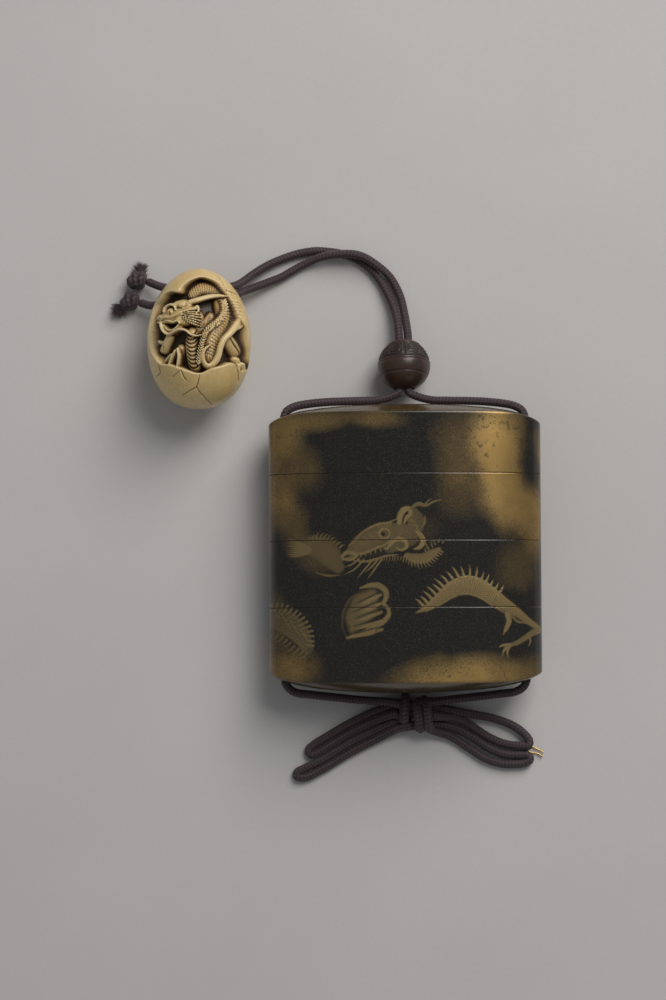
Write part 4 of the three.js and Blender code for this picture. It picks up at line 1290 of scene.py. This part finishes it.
def paintHead():
    brown = rounded(0.16, 0.44)
    brush([[-29, 0.6], [-25.5, 0.4], [-21.5, -1.6], [-18.5, -5.4]], [1.8, 3.6, 3.8, 2.2],
          rounded(0.14, 0.42), 1.1, 0.85)
    spikes([[-27.4, -1.6], [-26.6, 0.6], [-24.2, 2.2], [-20.6, 2.0], [-17.8, 0.2]], 13, 1.5, 0.9, 0.34,
           0.5)
    for k in range(9):
        rise = (k - 4) * 0.62
        root = [-26.2, -0.8 + 0.2 * rise]
        brush([root, [-29.4, -0.4 + 0.75 * rise], [-32.6 - 0.5 * (k % 2), 0.1 + 1.05 * rise]],
              [0.5, 0.34, 0.06], 0.62, 0.14)
    brush([[-24.5, -6.9], [-21.5, -7.7], [-17.6, -7.6]], [0.2, 0.42, 0.1], 0.5, 0.2)
    brush([[-15.4, -2.0], [-12.2, 0.6], [-8.4, 2.6], [-4.6, 3.8], [-1.2, 4.6]], [1.6, 3.0, 3.2, 2.9, 2.2],
          brown, 0.5)
    brush([[1.4, 3.4], [2.8, 6.4], [2.0, 9.8]], [2.2, 2.6, 1.2], scaled(0.85, 0.16, 0.62), 0.5)
    brush([[-4.6, 0.4], [-1.6, 1.4], [1.6, 2.2]], [2.4, 2.6, 2.0], scaled(0.8, 0.18, 0.58), 0.5)
    brush([[-15.6, 0.4], [-13.9, 1.7], [-12.4, 3.6], [-9.8, 5.2], [-7.4, 6.2], [-4.6, 6.6], [-2.2, 7.8]],
          [0.2, 0.34, 0.3, 0.42, 0.4, 0.34, 0.14], 0.72, 0.14)
    brush([[-17.4, -2.5], [-16.2, -1.5], [-14.6, -1.6], [-13.4, -2.4], [-15.2, -3.4], [-17.2, -3.2]],
          [0.5, 0.6, 0.5, 0.4, 0.5, 0.4], 0.80, 0.14)
    brush([[-16.3, -2.5], [-15.4, -2.3]], [0.42, 0.3], 0.10, 0.12)
    brush([[-13.6, -1.9], [-11.2, -1.6], [-8.6, -0.5], [-5.8, 0.6], [-3.2, 2.1], [-1.6, 3.0]],
          [0.3, 0.42, 0.4, 0.34, 0.3, 0.12], 0.76, 0.12)
    brush([[-14.4, -3.6], [-11.6, -4.0], [-8.4, -3.4], [-5.2, -2.4], [-2.2, -2.2]],
          [0.2, 0.36, 0.38, 0.34, 0.14], 0.64, 0.12)
    brush([[-13.0, -2.7], [-10.0, -2.6], [-7.0, -1.6], [-4.6, -0.6]], [0.3, 0.62, 0.6, 0.2], 0.05, 0.16)
    for k in range(6):
        x = -12.4 + 1.35 * k
        brush([[x, -1.9 + 0.34 * k], [x + 0.1, -2.8 + 0.34 * k]], [0.24, 0.05], 0.74, 0.08)
    brush([[-6.1, 3.7], [-5.7, 3.7]], [1.55, 1.55], 0.82, 0.14)
    brush([[-6.0, 3.6], [-5.6, 3.6]], [1.02, 1.02], 0.34, 0.12)
    brush([[-6.3, 3.5], [-6.1, 3.4]], [0.52, 0.52], 0.02, 0.1)
    for k in range(5):
        brush([[-7.4 + 0.75 * k, 5.2 + 0.12 * k], [-7.6 + 0.95 * k, 6.5 + 0.2 * k]], [0.22, 0.05], 0.66,
              0.1)
    for k in range(4):
        brush([[-13.0 + 1.4 * k, 2.0 + 0.9 * k], [-11.6 + 1.4 * k, 0.9 + 0.85 * k],
               [-10.6 + 1.4 * k, 0.9 + 0.9 * k]],
              [0.12, 0.22, 0.06], 0.6, 0.1)


def paintHornsAndMane():
    bright = rounded(0.5, 0.92)
    brush([[-1.8, 6.6], [-1.6, 8.4], [-0.6, 10.0], [0.9, 10.3], [1.2, 8.8], [0.2, 8.0], [-0.4, 6.6]],
          [0.75, 0.9, 0.95, 0.7, 0.6, 0.6, 0.3], bright, 0.14)
    brush([[1.4, 10.4], [3.2, 11.6], [5.4, 11.2], [7.6, 12.2], [10.2, 12.9]],
          [0.5, 0.62, 0.42, 0.36, 0.08], 0.52, 0.2)
    brush([[4.8, 11.3], [6.4, 12.7], [7.4, 13.6]], [0.3, 0.26, 0.06], 0.5, 0.16)
    brush([[-5.2, -0.6], [-3.9, 1.0], [-2.2, 2.1], [-0.4, 1.7], [0.2, 0.1], [-1.2, -0.9], [-2.9, -0.2]],
          [0.35, 0.5, 0.62, 0.62, 0.52, 0.4, 0.12], bright, 0.14)
    brush([[2.6, 4.2], [4.1, 2.9], [4.6, 1.2], [3.6, -0.2], [2.0, -0.7]], [0.25, 0.72, 0.8, 0.6, 0.12],
          bright, 0.14)
    brush([[5.2, 8.0], [5.0, 6.4], [4.2, 5.2]], [0.24, 0.4, 0.1], 0.56, 0.14)
    brush([[0.2, -2.4], [2.4, -3.2], [4.8, -3.2], [7.0, -2.0], [9.0, -0.6]], [0.9, 1.5, 1.6, 1.3, 0.5],
          rounded(0.22, 0.62), 0.3)
    spikes([[-0.6, -2.8], [1.8, -3.9], [4.6, -4.2], [7.2, -3.1], [9.4, -1.2]], 15, 1.7, 0.45, 0.26, 0.72,
           side=-1)
    spikes([[5.2, -1.2], [7.2, 0.2], [8.8, 1.4], [10.0, 1.2]], 6, 1.3, 0.6, 0.22, 0.66)
    spikes([[-6.6, -3.2], [-4.4, -2.9], [-2.0, -3.0], [0.2, -3.4]], 10, 1.3, -0.5, 0.2, 0.6, side=-1)
    for k in range(6):
        brush([[0.6 + 0.9 * k, 7.4 - 1.25 * k], [2.0 + 0.7 * k, 7.0 - 1.3 * k],
               [2.9 + 0.6 * k, 6.0 - 1.35 * k]],
              [0.12, 0.24, 0.06], 0.62, 0.1)
    for root, mid, tip in (
        ([-11.6, -3.5], [-14.0, -6.0], [-17.2, -7.6]), ([-9.0, -3.4], [-11.2, -6.0], [-13.6, -8.9]),
        ([-6.6, -3.4], [-8.4, -5.8], [-10.6, -8.9]), ([-12.8, -3.2], [-14.6, -4.6], [-17.0, -5.6]),
        ([-7.8, -3.6], [-9.6, -5.6], [-11.4, -7.0]),
    ):
        brush([root, mid, tip], [0.28, 0.26, 0.05], 0.72, 0.1)


def paintCoil():
    outline = [[-16.4, -24.4], [-17.4, -21.6], [-17.2, -18.0], [-15.0, -13.8], [-12.2, -12.6]]
    brush([[-14.8, -22.6], [-13.6, -19.6], [-11.4, -16.0], [-9.4, -13.2]], [1.6, 4.0, 4.6, 2.4],
          rounded(0.10, 0.50), 1.6, 0.95)
    brush(outline, [0.3, 0.5, 0.6, 0.6, 0.3], 0.30, 0.5, 0.7)
    brush([[-12.6, -11.2], [-9.6, -10.4], [-7.4, -10.6], [-5.6, -12.2], [-5.6, -14.0], [-6.2, -15.4],
           [-5.0, -16.8],
           [-4.8, -18.4], [-6.2, -20.2], [-9.0, -22.0], [-12.4, -23.6], [-16.2, -24.7]],
          [0.3, 0.7, 0.9, 0.9, 0.7, 0.55, 0.75, 0.9, 0.85, 0.75, 0.7, 0.35], rounded(0.34, 0.74), 0.2)
    for k in range(5):
        drop = 2.35 * k
        plate = [[-6.9 + 0.1 * k, -12.0 - drop], [-9.6 - 0.25 * k, -13.4 - drop * 0.98],
                 [-12.6 - 0.4 * k, -14.8 - drop * 0.93]]
        brush([[p[0] - 0.1, p[1] - 1.05] for p in plate], [0.5, 0.72, 0.16], rounded(0.5, 0.86), 0.3, 0.9)
        brush(plate + [[-15.4 - 0.3 * k, -16.2 - drop * 0.8]], [0.16, 0.24, 0.2, 0.05], 0.04, 0.12)


def paintBody():
    back = [[2.6, -18.0], [5.4, -16.7], [9.0, -14.3], [12.4, -11.8], [15.6, -10.6], [18.6, -10.9],
            [22.4, -12.8], [26.4, -15.4],
            [30.6, -18.2], [33.8, -20.6], [36.4, -22.4]]
    brush(back, [0.25, 1.1, 1.8, 2.4, 2.7, 2.6, 2.1, 1.7, 1.3, 1.0, 0.8], scaled(0.62, 0.4, 1.15), 0.24)
    upper = [[4.4, -15.9], [8.4, -12.7], [12.0, -9.9], [15.6, -8.3], [18.8, -8.6], [22.6, -10.7],
             [25.4, -12.8]]
    spikes(upper, 17, 3.3, -0.18, 0.42, 0.9)
    brush([[5.0, -17.9], [9.6, -15.6], [13.2, -13.4], [16.2, -12.9], [19.4, -13.6], [24.0, -16.4],
           [29.6, -19.6]],
          [0.12, 0.26, 0.3, 0.3, 0.3, 0.26, 0.1], 0.74, 0.14)
    brush([[27.6, -18.4], [28.0, -20.4], [27.2, -22.4], [26.3, -24.2]], [0.9, 0.85, 0.6, 0.08],
          rounded(0.42, 0.84), 0.16)
    brush([[28.4, -18.6], [30.4, -20.4], [32.8, -20.9]], [0.3, 0.4, 0.2], 0.6, 0.14)
    brush([[36.8, -22.6], [34.8, -23.4], [32.6, -24.8], [30.2, -26.2], [28.2, -26.9]],
          [1.0, 1.0, 0.85, 0.75, 0.5],
          scaled(0.6, 0.3, 0.84), 0.18)
    for tip in ([26.0, -30.2], [27.8, -30.6], [25.0, -27.6]):
        mid = [(28.2 + tip[0]) / 2 - 0.5, (-26.9 + tip[1]) / 2 + 0.3]
        brush([[28.4, -26.8], mid, tip], [0.55, 0.42, 0.06], rounded(0.4, 0.8), 0.12)
    brush([[33.4, -24.2], [34.0, -25.8], [33.2, -27.4]], [0.4, 0.36, 0.06], 0.62, 0.12)


def paintTail():
    brush([[-26.8, -27.6], [-28.4, -24.6], [-31.0, -21.6], [-34.6, -19.4], [-38.6, -18.6]],
          [1.8, 3.0, 3.6, 3.4, 2.6],
          scaled(0.95, 0.14, 0.58), 0.6)
    spikes([[-25.6, -26.8], [-25.8, -23.2], [-27.6, -19.8], [-30.4, -17.2], [-34.2, -15.6],
            [-38.0, -15.4]], 15, 2.8, 0.35,
           0.36, 0.58)
    spikes([[-27.2, -29.0], [-30.6, -27.0], [-33.2, -25.0], [-36.4, -23.4]], 9, 2.2, 0.5, 0.3, 0.5)
    for k in range(12):
        x, y = -27.2 - 0.9 * k, -25.0 + 0.75 * k + 0.8 * math.sin(k * 2.1)
        brush([[x, y], [x - 0.5, y + 1.0], [x - 1.4, y + 1.5]], [0.1, 0.24, 0.05], 0.62, 0.1)


# On the back a few curls of drifting cloud, drawn in plain outline.
def paintBackCurls():
    for x, y, size, turn in ((62, 4, 5.5, 1), (-70, 24, 6, -1), (76, -22, 6.5, 1), (-62, -24, 5.5, -1),
                             (84, 26, 4.5, -1)):
        curl = []
        for k in range(15):
            angle = 0.5 + k * 0.52
            reach = size * (1 - k / 17)
            curl.append([x + turn * reach * math.cos(angle), y + 0.6 * reach * math.sin(angle)])
        stroke = strokeOn(picture, curl, [0.16, 0.5, 0.45, 0.3, 0.1], 0.3)
        cover = smoothStep(0, 0.3, (1 - stroke["share"]) * 0.5)
        window = stroke["window"]
        gilding[window] += (0.78 - gilding[window]) * cover
        drawn[window] += (1 - drawn[window]) * cover * 0.8


def weatherPicture():
    worn = unevenLayer(picture, 1.6, 3)
    rubbed = unevenLayer(picture, 9, 3)
    gilding[:] = gilding * (1 - 0.5 * smoothStep(0.62, 0.8, worn) * smoothStep(0.4, 0.7, rubbed))
    gilding[:] = np.clip(gilding * (0.9 + 0.2 * worn), 0, 1)


sprinkleClouds()
paintTail()
paintCoil()
paintBody()
paintHead()
paintHornsAndMane()
paintBackCurls()
weatherPicture()


def ovalRing(angles, size, power, height, arch=0.0):
    x = size[0] * bend(np.cos(angles), power)
    z = np.maximum(case["middle"] + size[1] * bend(np.sin(angles), power), 0)
    y = height + arch * (1 - np.abs(x / case["halfWidth"]) ** case["archPower"])
    return np.stack([x, y, z], axis=-1)


def columnAngles():
    frontHalf = girth["frontReach"][-1] + 1.5
    front = np.linspace(-frontHalf, frontHalf, int(2 * frontHalf / case["frontStep"]))
    backCount = int((girth["half"] - frontHalf) / case["backStep"])
    right = np.linspace(frontHalf, girth["half"], backCount)[1:]
    reach = np.concatenate([-right[::-1], front, right])
    return reach, np.interp(reach, girth["reach"], girth["angle"])


# The rings of a section from the middle of its underside, over the outside, to the middle of its inside.
def sectionRings(index, angles):
    last = len(case["seams"])
    outer = (case["halfWidth"], case["halfDepth"])
    outside = lambda share, height, arch=0.0: (ovalRing(angles, [share * s for s in outer], case["power"],
                                                        height, arch), 0)
    hollow = case["hollow"]
    inner = lambda grow, share, height: (
        ovalRing(angles, [(s + grow) * share for s in hollow], case["hollowPower"], height), 1)
    domeShares = [0, 0.12, 0.3, 0.5, 0.65, 0.8, 0.9, 0.945, 0.97, 0.985]
    dome = [(share, case["cornerHeight"] + case["endDome"] * (1 - share**2)) for share in domeShares]
    dome += [(0.992, case["cornerHeight"] + 0.02), (0.998, case["cornerHeight"] - 0.14)]
    rimHeight = case["cornerHeight"] - 0.4
    high = case["seams"][index - 1] - case["seamGap"] / 2 if index else None
    low = case["seams"][index] + case["seamGap"] / 2 if index < last else None
    lip, clearance = case["lipThickness"], case["lipClearance"]
    rings = []
    if low is None:
        rings += [outside(share, -height, -case["rimArch"]) for share, height in dome]
        bottom, bottomArch = -rimHeight, -case["rimArch"]
    else:
        recessTop = low + case["lipHeight"] + clearance
        if index:
            rings += [inner(0, share, recessTop) for share in (0, 0.5, 0.9)]
        else:
            ceiling = [(s, case["cornerHeight"] + case["endDome"] * (1 - s**2)) for s in (0, 0.3, 0.5,
                                                                                          0.7, 0.85, 0.95,
                                                                                          1)]
            rings += [inner(0, share, height) for share, height in ceiling]
            rings += [inner(0, 1, height) for height in np.linspace(case["cornerHeight"] - 1, recessTop,
                                                                    6)]
        rings += [inner(lip + clearance, 1, height) for height in (recessTop, low + 0.25)]
        rings += [inner(lip + clearance + 0.2, 1, low)]
        rings += [(outside(0.998, low)[0], 1), outside(1, low + 0.06)]
        bottom, bottomArch = low + 0.06, 0.0
    top, topArch = (rimHeight, case["rimArch"]) if high is None else (high - 0.06, 0.0)
    count = int((top - bottom) / case["frontStep"])
    for share in np.linspace(0, 1, count + 1)[0 if low is None else 1:]:
        arch = bottomArch * (1 - share) + topArch * share
        rings.append(outside(1, bottom + (top - bottom) * share, arch))
    if high is None:
        rings += [outside(share, height, case["rimArch"]) for share, height in dome[::-1]]
        return rings
    rings += [(outside(0.998, high)[0], 1), inner(lip, 1, high)]
    rings += [inner(lip, 1, high + case["lipHeight"] - 0.2),
              inner(lip - 0.2, 1, high + case["lipHeight"])]
    rings += [inner(0.2, 1, high + case["lipHeight"]), inner(0, 1, high + case["lipHeight"] - 0.2)]
    floorHeight = -case["cornerHeight"]
    if low is not None:
        floorHeight = low + case["lipHeight"] + clearance + case["floor"]
    rings += [inner(0, 1, height) for height in np.linspace(high, floorHeight, 8)]
    sag = case["endDome"] if low is None else 0.0
    rings += [inner(0, share, floorHeight - sag * (1 - share**2)) for share in (0.9, 0.7, 0.5, 0.3, 0)]
    return rings


def channelCutter():
    mouth = case["cornerHeight"] - 1.2
    reach = case["cornerHeight"] + case["rimArch"] + case["endDome"] + 1
    bore, wide = case["channelRadius"], case["mouthRadius"]
    steps = np.linspace(0, 1, 7)
    flare = [(bore + (wide - bore) * s**1.6, mouth + 1.9 * s) for s in steps]
    profile = [(0, -reach), (wide, -reach)] + [(r, -y) for r, y in flare[::-1]] + flare + [(wide, reach),
                                                                                           (0, reach)]
    around = np.linspace(0, 2 * np.pi, 37)
    rows = [np.stack([r * np.cos(around), np.full(37, y), r * np.sin(around)], axis=-1) for r,
            y in profile]
    halves = []
    for side in (-1, 1):
        halves.append(wrapGrid("channel", np.array(rows) + [side * channelX, 0, case["middle"]]))
    pick(halves[0])
    halves[1].select_set(True)
    bpy.ops.object.join()
    return bpy.context.object


def addSections():
    reach, angles = columnAngles()
    cutter = channelCutter()
    for index, (solid, name) in enumerate((("lid", "lid_shell"), ("upper_case", "upper_section"),
                                           ("middle_case", "middle_section"), ("lower_case",
                                                                               "lower_section"))):
        rings = sectionRings(index, angles)
        places = np.array([ring for ring, _ in rings])
        inside = np.repeat(np.array([[flag] for _, flag in rings], float), len(reach), axis=1)
        along = np.broadcast_to(reach, places.shape[:2])
        height = np.clip(places[..., 1], -40, 40)
        onEnd = smoothStep(0.999, 0.97, endShare(places)) * (1 - inside)
        gilt = sampleSheet(picture, gilding, along,
                           height) * (1 - inside) * (1 - onEnd) + 0.2 * onEnd + 0.05 * inside
        marks = {
            "gilding": gilt,
            "drawn": sampleSheet(picture, drawn, along, height) * (1 - inside) * (1 - onEnd),
            "inside": inside,
        }
        piece = wrapGrid(name, places, marks)
        cutAway(piece, cutter)
        bpy.ops.object.shade_smooth_by_angle(angle=math.radians(32))
        dressPiece(piece, lacquer, "lacquer", solid)
    bpy.data.objects.remove(cutter)


# How far out a place lies on its section, as a share of the outline there.
def endShare(places):
    x = np.abs(places[..., 0]) / case["halfWidth"]
    z = np.abs(places[..., 2] - case["middle"]) / case["halfDepth"]
    return (x ** case["power"] + z ** case["power"]) ** (1 / case["power"])


addSections()


print("the brass wire")

wire = {"radius": 0.22, "spacing": 0.15, "route": [
    [38.4, -56.5, 0.5], [36.3, -55.5, 0.32], [34.4, -54.7, 0.3], [33.7, -55.6, 0.3], [34.6, -56.5, 0.3],
    [36.6, -56.9, 0.32], [38.2, -57.8, 0.5],
]}


def addWire():
    line = smoothLine(wire["route"], wire["spacing"])
    data = newCurves("bent_wire", wire["radius"], 3)
    thread = data.splines.new("POLY")
    thread.points.add(len(line) - 1)
    for point, place in zip(thread.points, line):
        point.co = (*(place * mm), 1)
    return dressPiece(meshFromCurves(data), brass, "brass", "brass_wire")


bentWire = addWire()
